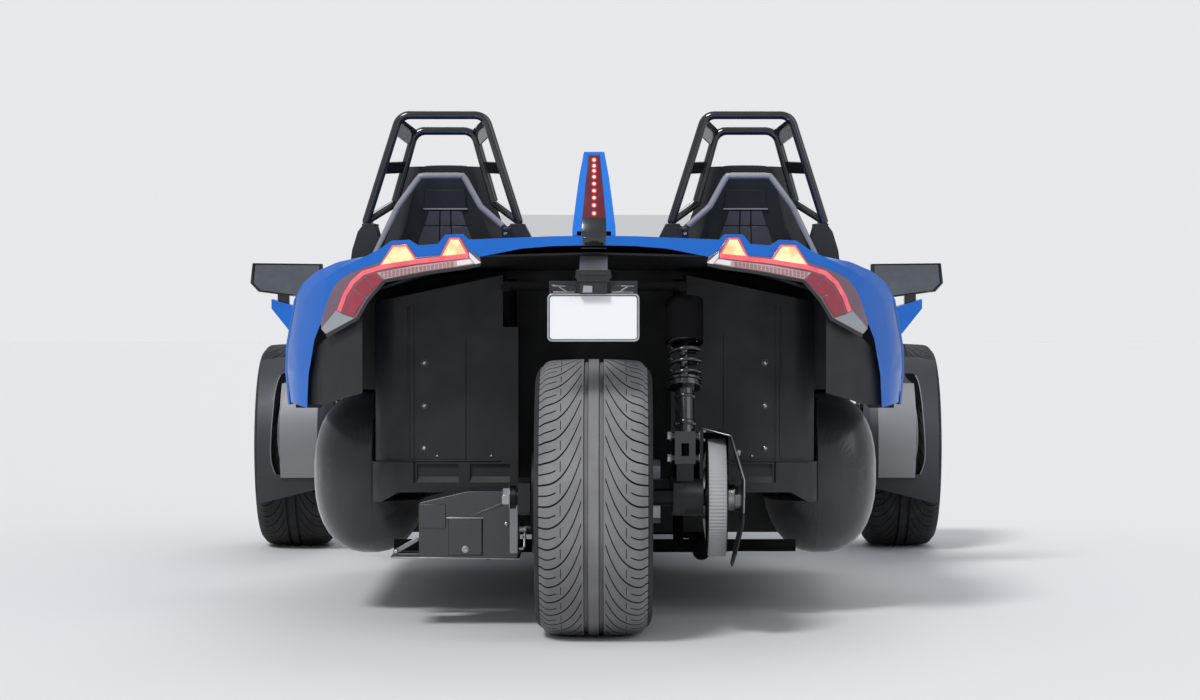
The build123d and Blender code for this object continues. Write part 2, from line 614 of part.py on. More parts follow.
# Mirror arm sections: x, y from, y to, z from, z to
MIRROR_ARM = [(752, 1520, 1640, 612, 725), (808, 1530, 1632, 630, 741), (900, 1556, 1606, 742, 768)]


def arm_top(x):
    """Height of the mirror arm's upper edge."""
    (x0, *_, z0), (x1, *_, z1) = MIRROR_ARM[1:]
    return z0 + (z1 - z0) * (x - x0) / (x1 - x0)


def make_side_panel():
    """Blue panel between the step-in and the front wheel, with its vent and mirror arm."""
    panel = skin(SIDE_STATIONS)
    panel -= prism_x(VENT, 440, 800)
    sections = []
    for x, y0, y1, low, high in MIRROR_ARM:
        sections.append(face_of([(x, y0, low), (x, y1, low), (x, y1, high), (x, y0, high)]))
    return panel + loft(sections, ruled=True)


# Hood: y, then half width and height of the ridge, the shoulder and the edge
HOOD_TABLE = [
    (1886, 150, 884, 360, 866, 552, 830),
    (2120, 142, 862, 310, 842, 470, 782),
    (2366, 132, 832, 262, 810, 394, 734),
    (ahead(0.016), 114, 782, 214, 760, 352, 672),
    (ahead(0.41), 92, 700, 176, 678, 318, 596),
    (ahead(0.632), 78, 640, 150, 620, 296, 548),
]


def hood_line(w0, z0, w1, z1, w2, z2):
    right = [(w0, z0), (w1, z1), (w2, z2)]
    return [(-x, z) for x, z in right[::-1]] + right


def make_hood():
    """Blue hood, hinged at its front edge."""
    hood = skin([(y, hood_line(*row)) for y, *row in HOOD_TABLE])
    for side in (-1, 1):
        slot = [(side * 150, 2180), (side * 236, 2150), (side * 206, 2380), (side * 146, 2400)]
        hood -= prism_z(slot, 700, 900)
    eye = ring_x(STRAP_X0, STRAP_X1, HINGE_EYE_R, HINGE_PIN_R + RUNNING_GAP, HINGE_Y, HINGE_Z)
    strap = prism_x([(ahead(0.5385), 653), (ahead(0.62), 630), (HINGE_Y - 4, HINGE_Z + 11),
                     (HINGE_Y - 11, HINGE_Z - 4)], STRAP_X0, STRAP_X1)
    arm = strap + eye - ring_x(HINGE_X - 20, HINGE_X + 20, HINGE_PIN_R + RUNNING_GAP, 0, HINGE_Y, HINGE_Z)
    return hood + arm + left_of(arm)


# Cheeks beside the hood, outward and down
CHEEK_STATIONS = [
    (2368, [(400, 728), (424, 716), (458, 660), (468, 590), (464, 530)]),
    (ahead(0.016), [(358, 666), (378, 654), (404, 618), (408, 600), (404, 584)]),
    (ahead(0.41), [(324, 590), (344, 580), (372, 548), (378, 500), (370, 460)]),
    (ahead(0.632), [(302, 542), (330, 532), (372, 500), (384, 430), (372, 360)]),
]
# Nose cap: full width sections, half widths and heights of crown, shoulder, side and chin
NOSE_TABLE = [
    (ahead(0.64), 78, 636, 150, 616, 300, 540, 384, 430, 372, 352),
    (ahead(0.817), 60, 570, 120, 556, 250, 500, 330, 420, 318, 340),
    (ahead(0.94), 36, 512, 76, 500, 160, 462, 210, 404, 200, 348),
    (NOSE_Y, 16, 470, 30, 462, 60, 438, 76, 404, 70, 366),
]


def nose_line(*row):
    right = [(row[i], row[i + 1]) for i in range(0, len(row), 2)]
    return [(-x, z) for x, z in right[::-1]] + right


def make_nose():
    """Blue nose cap with the cheeks beside the hood and recesses for the lamps."""
    cap = skin([(y, nose_line(*row)) for y, *row in NOSE_TABLE])
    cheek = skin(CHEEK_STATIONS)
    nose = cap + cheek + left_of(cheek)
    tie = prism_y([(290, 430), (380, 430), (364, 500), (290, 500)], ahead(0.632) - 6, ahead(0.64) + 6)
    tab = block(HINGE_X + 10, HINGE_X + 18, HINGE_Y - 10, HINGE_Y + 10,
                HINGE_Z + HINGE_PIN_R + SEAT_GAP, HINGE_Z + 27)
    nose += tie + left_of(tie) + tab + left_of(tab)
    recess = prism_y(HEADLAMP_OUTLINE, ahead(0.669), NOSE_Y + 20)
    # Notches that let the hood's straps swing up
    notch = block(STRAP_X0 - PANEL_GAP, STRAP_X1 + 5.9, HINGE_Y - 26, HINGE_Y + 44, HINGE_Z + 10, HINGE_Z + 120)
    return nose - recess - left_of(recess) - notch - left_of(notch)


HEADLAMP_OUTLINE = [(130, 462), (300, 500), (352, 462), (330, 420), (170, 425)]


def make_headlamps():
    """Angular lamp units behind the openings in the nose."""
    middle = sum(x for x, _ in HEADLAMP_OUTLINE) / 5, sum(z for _, z in HEADLAMP_OUTLINE) / 5
    inset = [(middle[0] + (x - middle[0]) * 0.996, middle[1] + (z - middle[1]) * 0.985)
             for x, z in HEADLAMP_OUTLINE]
    cap = solid_loft([(y, nose_line(*row)) for y, *row in NOSE_TABLE])
    keep = prism_z([(120, ahead(0.657)), (400, ahead(0.657)), (400, ahead(0.829)), (120, ahead(0.916))],
                   380, 560)
    return both(prism_y(inset, ahead(0.674), ahead(0.953)) & cap & keep)


def make_lower_bumper():
    """Black lower fascia: chin, grille bars and side intakes."""
    back_y, side_y, front_y = ahead(0.435), ahead(0.718), ahead(0.928)
    shell = skin([
        (back_y, [(0, 352), (300, 350), (410, 300), (420, 220), (400, 168)]),
        (side_y, [(0, 350), (270, 346), (360, 300), (372, 220), (352, 160)]),
        (front_y, [(0, 346), (170, 344), (220, 300), (228, 220), (214, 158)]),
    ], MOULDING)
    floor = prism_z([(0, back_y), (404, back_y), (356, side_y), (216, front_y), (0, front_y + 20)], 152, 160)
    half = shell + floor
    for z in (196, 232, 268, 304):
        half += prism_z([(0, front_y - 10), (0, front_y), (212, front_y - 16), (350, side_y - 10),
                         (340, side_y - 14), (206, front_y - 26)], z, z + 8)
    half += block(0, 8, front_y - 16, front_y, 158, 348)
    half += block(196, 206, front_y - 26, front_y - 12, 158, 344)
    half += block(FRONT_RAIL_X - 15, FRONT_RAIL_X + 15, FRAME_END_Y + SEAT_GAP, back_y + 14, 154, 176)
    return half + left_of(half)


def make_dash():
    """Dash with a hood over the instruments and the cowl below the windscreen."""
    line = [(1640, 560), (1700, 540), (1940, 560), (1940, 806), (1880, DASH_TOP), (1680, DASH_TOP),
            (1630, 790), (1614, 700)]
    reach = TUB_X - 14 - SEAT_GAP
    dash = prism_x(line, -reach, reach)
    dash &= prism_z([(-reach, 1500), (reach, 1500), (reach, 1690), (530, 1950), (-530, 1950),
                     (-reach, 1690)], 500, 900)
    dash -= prism_x([(1680, 500), (1700, 600), (1900, 600), (1960, 500)], -TUB_X + 30, TUB_X - 30)
    pod = block(STEERING_X - 110, STEERING_X + 110, 1590, 1700, 760, 858)
    pod = fillet(pod.edges().filter_by(Axis.Y).group_by(Axis.Z)[-1], 30)
    pod -= block(STEERING_X - 96, STEERING_X + 96, 1580, 1612, 770, 846)
    column = rod((STEERING_X, 1640, 700), tuple(Vector(*STEERING_CENTRE) + Vector(0, 60, -27)), 26)
    pocket = block(180, 560, 1600, 1632, 640, 740)
    return dash + pod + column - pocket


def make_windscreen():
    """Low wrap-round blade, standing on the cowl."""
    # Foot and head arcs: half width, y at the centre, y at the side, z
    foot = (540.0, 1868.0, 1690.0, DASH_TOP + SEAT_GAP)
    head = (500.0, 1760.0, 1600.0, 1004.0)

    def strip(values, thick):
        half, y_mid, y_side, z = values
        rear = ThreePointArc((-half, y_side, z), (0, y_mid, z), (half, y_side, z))
        front = ThreePointArc((half, y_side + thick, z), (0, y_mid + thick, z), (-half, y_side + thick, z))
        ends = [Line(rear @ 1, front @ 0), Line(front @ 1, rear @ 0)]
        return Face(Wire([rear, ends[0], front, ends[1]]))

    return loft([strip(foot, 6), strip(head, 6)], ruled=True)


def make_mirrors():
    """Door mirrors on the ends of the blue arms, with a foot on each arm."""
    outline = [(756, 866), (952, 868), (958, 812), (936, 788), (812, 772), (756, 800)]
    shell = loft([face_of([(x, 1548, z) for x, z in outline]),
                  face_of([(x * 0.86 + 118, 1618, z * 0.7 + 248) for x, z in outline])], ruled=True)
    shell -= prism_y([(x * 0.93 + 60, z * 0.93 + 57.5) for x, z in outline], 1540, 1554)
    foot = prism_y([(852, arm_top(852) + SEAT_GAP), (884, arm_top(884) + SEAT_GAP), (884, 800), (852, 800)],
                   1564, 1598)
    return both(shell + foot)


# Seat shell: z, half width, y of its back face
SEAT_BACK = [(235, 200, 890), (420, 216, 868), (700, 218, 818), (880, 200, 784), (960, 146, 770),
             (1060, 112, 752), (1112, 92, 746)]


def make_seat_shell():
    """Hard back and pan of one seat, ribbed on its rear face."""
    sections = []
    for z, half, y in SEAT_BACK:
        sections.append(face_of([(SEAT_X - half, y + 34, z), (SEAT_X - half * 0.7, y, z),
                                 (SEAT_X + half * 0.7, y, z), (SEAT_X + half, y + 34, z),
                                 (SEAT_X + half, y + 46, z), (SEAT_X - half, y + 46, z)]))
    back = loft(sections, ruled=True)
    pan = block(SEAT_X - 212, SEAT_X + 212, 900, 1430, 236, 262)
    rails = block(SEAT_X - 190, SEAT_X - 160, 940, 1380, FLOOR_Z + 14 + SEAT_GAP, 240)
    rails += block(SEAT_X + 160, SEAT_X + 190, 940, 1380, FLOOR_Z + 14 + SEAT_GAP, 240)
    return back + pan + rails


def make_seat_pad():
    """Cushion and back pad of one seat, as plain closed forms."""
    sections = []
    for z, half, y in SEAT_BACK[1:]:
        h = half - 14
        y0 = y + 46 + SEAT_GAP
        depth = 92 if z < 900 else 70
        sections.append(face_of([(SEAT_X - h, y0, z), (SEAT_X + h, y0, z),
                                 (SEAT_X + h, y0 + depth, z), (SEAT_X + h * 0.6, y0 + depth * 0.55, z),
                                 (SEAT_X - h * 0.6, y0 + depth * 0.55, z), (SEAT_X - h, y0 + depth, z)]))
    back = loft(sections, ruled=True)
    cushion = prism_x([(980, 262 + SEAT_GAP), (1440, 262 + SEAT_GAP), (1465, 300), (1450, 372),
                       (1370, 392), (1030, 362), (980, 330)], SEAT_X - 205, SEAT_X + 205)
    return Compound(children=[back, cushion])


# Hoop loops over a seat. Columns: y, half width and z of the foot, half width and z of the head
HOOP_LOOPS = [(HOOP_REAR_Y, 190, HOOP_FOOT_Z, 106, HOOP_TOP_Z), (HOOP_FRONT_Y, 126, 1018, 74, 1201)]


def between(a, b, share):
    return tuple(p + (q - p) * share for p, q in zip(a, b))


def gusset(rear_leg, front_leg, share, width, thick):
    """Flat plate between a rear and a front leg, each a pair of points, at a share of their length."""
    a, b = between(*rear_leg, share), between(*front_leg, share)
    along = (Vector(*rear_leg[1]) - Vector(*rear_leg[0])).normalized() * (width / 2)
    corners = [Vector(*a) - along, Vector(*a) + along, Vector(*b) + along, Vector(*b) - along]
    face = face_of([(c.X, c.Y, c.Z) for c in corners])
    return extrude(face, amount=thick / 2, both=True)


def make_hoop():
    """Double loop over one seat, tied by bars at the feet and by flat gussets above."""
    loops = []
    corners = []
    for y, foot_half, foot_z, head_half, head_z in HOOP_LOOPS:
        ring = [(SEAT_X - foot_half, y, foot_z), (SEAT_X - head_half, y, head_z),
                (SEAT_X + head_half, y, head_z), (SEAT_X + foot_half, y, foot_z)]
        corners.append(ring)
        loops.append(bent_tube(ring, HOOP_TUBE_R, 34))
    hoop = loops[0] + loops[1]
    rear, front = corners
    for foot, head in ((0, 1), (3, 2)):
        for share, width in ((0.5, 30), (0.9, 44)):
            hoop += gusset((rear[foot], rear[head]), (front[foot], front[head]), share, width, 6)
        hoop += rod(rear[foot], front[foot], HOOP_TUBE_R)
        for corner in (rear[foot], front[foot]):
            hoop += Pos(*corner) * Sphere(HOOP_TUBE_R)
    return hoop


BACK_BAR_R = 6.5


def make_hoop_mounts():
    """Moulded cover behind the seats with the shoulders that carry the hoops, and two bars."""
    top = HOOP_FOOT_Z - HOOP_TUBE_R - SEAT_GAP
    y0, y1 = DECK_FRONT_Y + PANEL_GAP, 740.0
    cover = prism_y([(0, COVER_Z), (TUB_X, COVER_Z), (TUB_X, 860), (560, 864), (285, 870), (0, 874)],
                    y0, y1)
    outer = prism_y([(521, 858), (612, 856), (606, 900), (592, 945), (580, top), (549, top)], 596, 732)
    inner = prism_y([(151, 860), (241, 860), (232, 948), (213, top), (175, top), (159, 930)], 596, 732)
    # Bar behind the seat, out to in: distance outboard of the seat's centre, z
    bar_line = [(176, 860), (110, 1007), (54, 1084), (-54, 1084), (-96, 1007), (-160, 952)]
    bar = bent_tube([(SEAT_X + dx, y0 + 30, z) for dx, z in bar_line], BACK_BAR_R, 14)
    half = cover + outer + inner + bar
    return half + left_of(half)


def make_plate_holder():
    """Bracket that hangs below the deck behind the wheel, with its light housing."""
    arm = prism_x([(-290, 800), (-290, 846), (-150, 868), (27, 885.4), (90, 880), (90, 868), (27, 869),
                   (-140, 850), (-262, 812), (-262, 800)], -32, 32)
    back = block(-99, 99, PLATE_Y + 3 + SEAT_GAP, PLATE_Y + 9, PLATE_Z - 40, 826)
    housing_line = [(31, 792), (31, 823), (41, 834), (38, 851)]
    housing = prism_y(housing_line + [(-x, z) for x, z in housing_line[::-1]], PLATE_Y - 18, PLATE_Y + 30)
    housing -= block(-60, 60, PLATE_Y - 30, PLATE_Y + 3 + SEAT_GAP, 700, PLATE_Z + PLATE_H / 2 + SEAT_GAP)
    return arm + back + housing


def make_plate():
    """Blank plate with rounded corners."""
    outline = RectangleRounded(PLATE_W, PLATE_H, 9)
    plane = Plane(origin=(0, PLATE_Y + 3, PLATE_Z), x_dir=(1, 0, 0), z_dir=(0, -1, 0))
    return extrude(plane * outline, amount=3)


def tyre_profile(od, width, bead_r, rim_width, tread_share=0.82):
    """Closed tyre section as a face in (x, r), centred on x=0."""
    top, half = od / 2, width / 2
    tread = width * tread_share / 2
    bead_x = rim_width / 2 - BEAD_INSET
    bead = (bead_x, bead_r + SEAT_GAP)
    wall_foot = (bead_x, bead_r + RIM_FLANGE + 4)
    shoulder = (tread + 7, top - 17)
    edge = (tread - 14, top - 3.5)
    mid = (half, (wall_foot[1] + shoulder[1]) / 2)

    def at(point, side=1):
        return (side * point[0], point[1], 0)

    lines = [Line(at(bead), at(wall_foot)),
             ThreePointArc(at(wall_foot), at(mid), at(shoulder)),
             ThreePointArc(at(shoulder), (tread, top - 8.5, 0), at(edge)),
             ThreePointArc(at(edge), (0, top, 0), at(edge, -1)),
             ThreePointArc(at(edge, -1), (-tread, top - 8.5, 0), at(shoulder, -1)),
             ThreePointArc(at(shoulder, -1), at(mid, -1), at(wall_foot, -1)),
             Line(at(wall_foot, -1), at(bead, -1)), Line(at(bead, -1), at(bead))]
    return Face(Wire(lines))


def make_tyre(centre, od, width, bead_r, rim_width):
    ring = revolve(tyre_profile(od, width, bead_r, rim_width), Axis.X)
    return Pos(*centre) * ring


def rim_profile(bead_r, rim_width):
    """Closed rim barrel section as a face in (x, r)."""
    w = rim_width / 2
    flange_r, drop_r = bead_r + RIM_FLANGE, bead_r - 19
    outer = [(-w, flange_r), (-w + 8, flange_r), (-w + 11, bead_r), (-w + 46, bead_r),
             (-w + 58, drop_r), (w - 62, drop_r), (w - 46, bead_r), (w - 11, bead_r),
             (w - 8, flange_r), (w, flange_r)]
    inner = [(w, flange_r - 6), (w - 6, bead_r - RIM_WALL), (w - 44, bead_r - RIM_WALL),
             (w - 60, drop_r - RIM_WALL), (-w + 60, drop_r - RIM_WALL),
             (-w + 46, bead_r - RIM_WALL), (-w + 4, bead_r - RIM_WALL), (-w, flange_r - 6)]
    return face_of([(x, r, 0) for x, r in outer + inner])


def make_rim(centre, bead_r, rim_width, hub, bore_r, spokes=7):
    """Rim with paired spokes. hub is (x from, x to, radius) from the wheel's centre."""
    barrel = revolve(rim_profile(bead_r, rim_width), Axis.X)
    face_x = rim_width / 2 - 46
    reach = bead_r - 19 - 2
    hub_x0, hub_x1, hub_r = hub
    middle = ring_x(hub_x0, hub_x1, hub_r, 0, 0, 0)
    spoke_set = None
    for i in range(spokes):
        for lean in (-9, 9):
            side = math.copysign(1, lean)
            outline = [(side * 6, hub_r - 14), (side * 26, hub_r - 14), (side * 32, reach), (side * 12, reach)]
            bar = prism_x(outline, face_x - 24, face_x)
            bar = Rot(X=360 * i / spokes) * bar
            spoke_set = bar if spoke_set is None else spoke_set + bar
    rim = barrel + middle + spoke_set
    rim -= ring_x(hub_x0 - 1, hub_x1 + 1, bore_r, 0, 0, 0)
    for i in range(5):
        angle = math.radians(72 * i + 36)
        rim -= ring_x(hub_x1 - 20, hub_x1 + 1, 7, 0, 40 * math.cos(angle), 40 * math.sin(angle))
    return Pos(*centre) * rim


def make_front_rim():
    """Right front rim with its brake disc."""
    centre = (FRONT_WHEEL_X, WHEELBASE, FRONT_AXLE_Z)
    disc_from = DISC_X - FRONT_WHEEL_X
    hub = (disc_from + DISC_T, FRONT_RIM_WIDTH / 2 - 40, 66)
    rim = make_rim(centre, FRONT_BEAD_R, FRONT_RIM_WIDTH, hub, SPINDLE_R + RUNNING_GAP)
    disc = ring_x(DISC_X, DISC_X + DISC_T, DISC_R, SPINDLE_R + RUNNING_GAP, WHEELBASE, FRONT_AXLE_Z)
    return rim + disc


def make_knuckle():
    """Right upright with spindle, steering arm, caliper and the stays of the fender."""
    x, y, z = KINGPIN_X, WHEELBASE, FRONT_AXLE_Z
    low = LOWER_BALL_Z + BALL_BOSS_H / 2 + SEAT_GAP
    high = UPPER_BALL_Z - BALL_BOSS_H / 2 - SEAT_GAP
    w = UPRIGHT_WIDTH / 2
    upright = block(x - w, x + w, y - w, y + w, low, high)
    upright = chamfer(upright.edges().filter_by(Axis.Z), 6)
    carrier = ring_x(x - 6, DISC_X - 6, 46, 0, y, z)
    spindle = ring_x(x, FRONT_WHEEL_X + FRONT_RIM_WIDTH / 2 - 42, SPINDLE_R, 0, y, z)
    arm_tip_y = y - STEER_ARM_REACH
    arm = prism_z([(x - 14, y), (x + 14, y), (x - 8, arm_tip_y), (x - 32, arm_tip_y)],
                  STEER_ARM_Z, STEER_ARM_Z + STEER_ARM_T)
    arm += extrude(Plane(origin=(x - 20, arm_tip_y, STEER_ARM_Z)) * Circle(15), amount=STEER_ARM_T)
    # Caliper ahead of the axle, straddling the disc
    caliper = ring_x(DISC_X - 26, DISC_X + DISC_T + 22, 158, 92, y, z)
    sector = prism_x([(y, z), (y + 240, z - 110), (y + 240, z + 110)], DISC_X - 40, DISC_X + 60)
    slot = ring_x(DISC_X - 6, DISC_X + DISC_T + 6, DISC_R + 6, 0, y, z)
    caliper = (caliper & sector) - slot
    ear = block(x - 10, DISC_X - 8, y, y + 112, z - 14, z + 14)
    knuckle = upright + carrier + spindle + arm + caliper + ear
    # Forked stay on the inner side of the tyre, from the upright to the fender's lip
    stay_x = FRONT_WHEEL_X - FRONT_TYRE_WIDTH / 2 - FENDER_SIDE_GAP
    reach = FENDER_R - 6
    low_z, high_angle = z + 42, math.radians(144)
    tip_y, tip_z = y + reach * math.cos(high_angle), z + reach * math.sin(high_angle)
    stay = prism_x([(y + 14, low_z), (y + 14, low_z + 22), (y - 120, low_z + 44), (tip_y + 8, tip_z + 6),
                    (tip_y - 8, tip_z - 12), (y - 168, low_z + 22), (y - reach + 8, low_z + 20),
                    (y - reach + 8, low_z)], stay_x - 5, stay_x)
    knuckle += stay
    knuckle += block(stay_x - 5, x, y - 9, y + 9, low_z, low_z + 16)
    return knuckle


FENDER_R = FRONT_TYRE_OD / 2 + FENDER_GAP


# Curved slot in the front fender, x and z from the wheel's centre, outer edge then inner edge
FENDER_SLOT = [(42, -73), (54, -34), (55, 26), (48, 117), (27, 183), (17, 183), (29, 117), (33, 57),
               (30, -4), (16, -76)]


def make_front_fender():
    """Right mudguard behind the tyre: a section swept round the axle, slotted, its lower edge slanted."""
    inner_x = -FRONT_TYRE_WIDTH / 2 - FENDER_SIDE_GAP
    outer_x = FRONT_TYRE_WIDTH / 2 - FENDER_SIDE_GAP
    r, t = FENDER_R, FENDER_T
    section = face_of([(inner_x, r - FENDER_LIP, 0), (inner_x, r - 8, 0), (inner_x + 26, r + t, 0),
                       (outer_x - 58, r + t, 0), (outer_x, r - 10, 0), (outer_x, r - 22, 0),
                       (outer_x - t, r - 22, 0), (outer_x - t, r - 12, 0), (outer_x - 59, r, 0),
                       (inner_x + 28, r, 0), (inner_x + t, r - 9, 0), (inner_x + t, r - FENDER_LIP, 0)])
    guard = revolve(Rot(X=FENDER_TOP_ANGLE) * section, Axis.X,
                    revolution_arc=FENDER_LOW_ANGLE - FENDER_TOP_ANGLE)
    guard -= prism_y(FENDER_SLOT, -r - 40, 0)
    low_z = r * math.sin(math.radians(FENDER_LOW_ANGLE))
    guard -= prism_y([(outer_x + 9, low_z - 90), (outer_x + 9, low_z), (inner_x - 9, low_z + 62),
                      (inner_x - 9, low_z - 90)], -r - 40, 0)
    return Pos(FRONT_WHEEL_X, WHEELBASE, FRONT_AXLE_Z) * guard


def make_front_arms():
    """Upper and lower wishbones of one side."""
    pieces = []
    # Columns: ball joint z, inboard x, inboard z, tube radius
    for ball_z, in_x, in_z, radius in ((UPPER_BALL_Z, 238, FRONT_UPPER_RAIL_Z, 12),
                                       (LOWER_BALL_Z, 250.5, 190, 15)):
        boss = Pos(KINGPIN_X, WHEELBASE, ball_z) * Cylinder(BALL_BOSS_R, BALL_BOSS_H)
        arm = boss
        for side in (-1, 1):
            foot_y = WHEELBASE + side * ARM_HALF_SPREAD
            arm += rod((in_x, foot_y, in_z), (KINGPIN_X - 4, WHEELBASE + side * 6, ball_z), radius - 2)
            arm += rod((in_x, foot_y - 20, in_z), (in_x, foot_y + 20, in_z), radius + 3)
        pieces.append(arm)
    lower = pieces[1]
    lower += block(590, 640, WHEELBASE - 50, WHEELBASE + 50, 198, 210)
    return [pieces[0], lower]


COIL_FOOT = (612.0, WHEELBASE, 238.0)
COIL_HEAD = (322.0, WHEELBASE, 600.0)


def make_coil_unit(foot, head, coil_r, wire_r, turns, body_share):
    """Damper with its coil spring, from its lower eye to its upper eye."""
    a, b = Vector(*foot), Vector(*head)
    length = (b - a).length
    base = extrude(Circle(coil_r * 0.62), amount=length * body_share)
    base += Pos(0, 0, length * body_share) * extrude(Circle(coil_r + wire_r), amount=6)
    base += extrude(Circle(coil_r * 0.28), amount=length)
    top = length * 0.94
    base += Pos(0, 0, top) * extrude(Circle(coil_r + wire_r), amount=7)
    spring_low = length * body_share + 6 + wire_r * 0.6
    height = top - spring_low - wire_r * 0.6
    helix = Helix(pitch=height / turns, height=height, radius=coil_r)
    coil = sweep(Plane(origin=helix @ 0, z_dir=helix % 0) * Circle(wire_r), path=helix)
    coil = Pos(0, 0, spring_low) * coil
    unit = base + coil
    return Plane(origin=a, x_dir=(1, 0, 0.001), z_dir=b - a).location * unit


def make_coilovers():
    """Front coil-over units, with eyes at both ends."""
    unit = make_coil_unit(COIL_FOOT, COIL_HEAD, 34, 5.5, 7, 0.34)
    unit += rod((COIL_FOOT[0], WHEELBASE - 16, COIL_FOOT[2]), (COIL_FOOT[0], WHEELBASE + 16, COIL_FOOT[2]), 17)
    unit += rod((COIL_HEAD[0], WHEELBASE - 16, COIL_HEAD[2]), (COIL_HEAD[0], WHEELBASE + 16, COIL_HEAD[2]), 17)
    return both(unit)


def make_rear_shock():
    """Rear coil-over, with its clevis down to the swing arm."""
    unit = make_coil_unit(SHOCK_FOOT, SHOCK_HEAD, SPRING_R, SPRING_WIRE_R, SPRING_TURNS, 0.34)
    x, y, z = SHOCK_FOOT
    clevis = block(x - 24, x + 24, y - 22, y + 22, 400, z + 10)
    clevis -= block(x - 9, x + 9, y - 40, y + 40, 418, z - 18)
    for bolt_z in (z - 2, 412):
        clevis += rod((x - 33, y, bolt_z), (x + 33, y, bolt_z), 9)
    return unit + clevis


def make_swingarm():
    """Swing arm with a slim left leg, a bearing carrier on the right and the belt guard."""
    z = REAR_AXLE_Z
    bore_r = AXLE_R + RUNNING_GAP
    outline = [(-38, z - 34), (30, z - 44), (SWING_PIVOT_Y + 10, SWING_PIVOT_Z - 40),
               (SWING_PIVOT_Y + 36, SWING_PIVOT_Z), (SWING_PIVOT_Y + 10, SWING_PIVOT_Z + 40),
               (30, z + 44), (-38, z + 34)]
    left = prism_x(outline, -176, -148)
    right = prism_x(outline, CARRIER_X0 - 2, CARRIER_X0 + 24)
    carrier = ring_x(CARRIER_X0 - 2, CARRIER_X1, CARRIER_R, 0, 0, z)
    lug = block(SHOCK_X - 20, SHOCK_X + 20, -18, 30, z + 30, 400 - SEAT_GAP)
    cross = block(-176, CARRIER_X0 + 10, REAR_TYRE_OD / 2 + 22, REAR_TYRE_OD / 2 + 82, z - 36, z + 20)
    arm = left + right + carrier + lug + cross
    arm -= ring_x(-400, 400, bore_r, 0, 0, z)
    arm -= ring_x(-400, 400, SWING_PIVOT_R + SEAT_GAP, 0, SWING_PIVOT_Y, SWING_PIVOT_Z)
    return arm


GUARD_LINE = [(252, 486), (318, 470), (346, 372), (344, 270), (322, 168)]


def make_belt_guard():
    """Bent plate outside the belt, on a bracket from the carrier."""
    inner = [(x - 4, z - 3) for x, z in GUARD_LINE]
    sheet = prism_y(GUARD_LINE + inner[::-1], -172, 30)
    keep = ring_x(200, 400, 172, 0, 0, REAR_AXLE_Z)
    guard = sheet & keep
    strap = block(246, 254, -8, 20, REAR_AXLE_Z + CARRIER_R - 10, 486)
    strap -= ring_x(240, 260, CARRIER_R + SEAT_GAP, 0, 0, REAR_AXLE_Z)
    guard -= ring_x(300, 400, AXLE_R + 6, 0, 0, REAR_AXLE_Z)
    return guard + strap


def make_drive_belt():
    """Belt round the wheel's sprocket and the drum on the pivot."""
    x0, x1 = SPROCKET_X0 + 2, SPROCKET_X1 - 2
    rise = SWING_PIVOT_Z - REAR_AXLE_Z
    reach = math.hypot(SWING_PIVOT_Y, rise)
    uy, uz = SWING_PIVOT_Y / reach, rise / reach

    def loop(extra):
        big, small = SPROCKET_R + extra, DRIVE_DRUM_R + extra
        lean = math.asin((big - small) / reach)
        corners = []
        for side in (1, -1):
            ny = uy * math.sin(lean) - side * uz * math.cos(lean)
            nz = uz * math.sin(lean) + side * uy * math.cos(lean)
            corners.append((big * ny, REAR_AXLE_Z + big * nz))
            corners.append((SWING_PIVOT_Y + small * ny, SWING_PIVOT_Z + small * nz))
        top_big, top_small, low_big, low_small = corners
        band = prism_x([top_big, top_small, low_small, low_big], x0, x1)
        band += ring_x(x0, x1, big, 0, 0, REAR_AXLE_Z)
        band += ring_x(x0, x1, small, 0, SWING_PIVOT_Y, SWING_PIVOT_Z)
        return band

    return loop(SEAT_GAP + BELT_T) - loop(SEAT_GAP)


def make_rear_axle():
    """Live axle with sprocket, brake disc and end nuts."""
    z = REAR_AXLE_Z
    axle = ring_x(AXLE_LEFT_X, AXLE_RIGHT_X, AXLE_R, 0, 0, z)
    axle += ring_x(AXLE_LEFT_X - 10, AXLE_LEFT_X + 4, 27, 0, 0, z)
    web = ring_x(SPROCKET_X0 + 16, SPROCKET_X1 - 16, SPROCKET_R - 10, 0, 0, z)
    for i in range(6):
        angle = math.radians(60 * i)
        web -= ring_x(200, 400, 26, 0, 78 * math.cos(angle), z + 78 * math.sin(angle))
    sprocket = ring_x(SPROCKET_X0, SPROCKET_X1, SPROCKET_R, SPROCKET_R - 14, 0, z) + web
    nut = extrude(Plane(origin=(SPROCKET_X1, 0, z), z_dir=(1, 0, 0)) * RegularPolygon(30, 6), amount=18)
    disc = ring_x(-143, -133, 130, 0, 0, z)
    return axle + sprocket + nut + disc + ring_x(SPROCKET_X0, SPROCKET_X1, 34, 0, 0, z)


def make_silencer():
    """Folded-sheet exhaust box beside the rear wheel, on two brackets."""
    box = prism_y([(-180, 168), (-415, 168), (-415, 300), (-300, 327), (-180, 327)], 130, 312)
    box = chamfer(box.edges().filter_by(Axis.Y), 4)
    patch = block(-345, -265, 125, 132, 176, 262)
    flange = block(-478, -413, 150, 190, 170, 178)
    lug = block(-330, -290, 300, 400, 193 + SEAT_GAP, 203)
    return box + patch + flange + lug


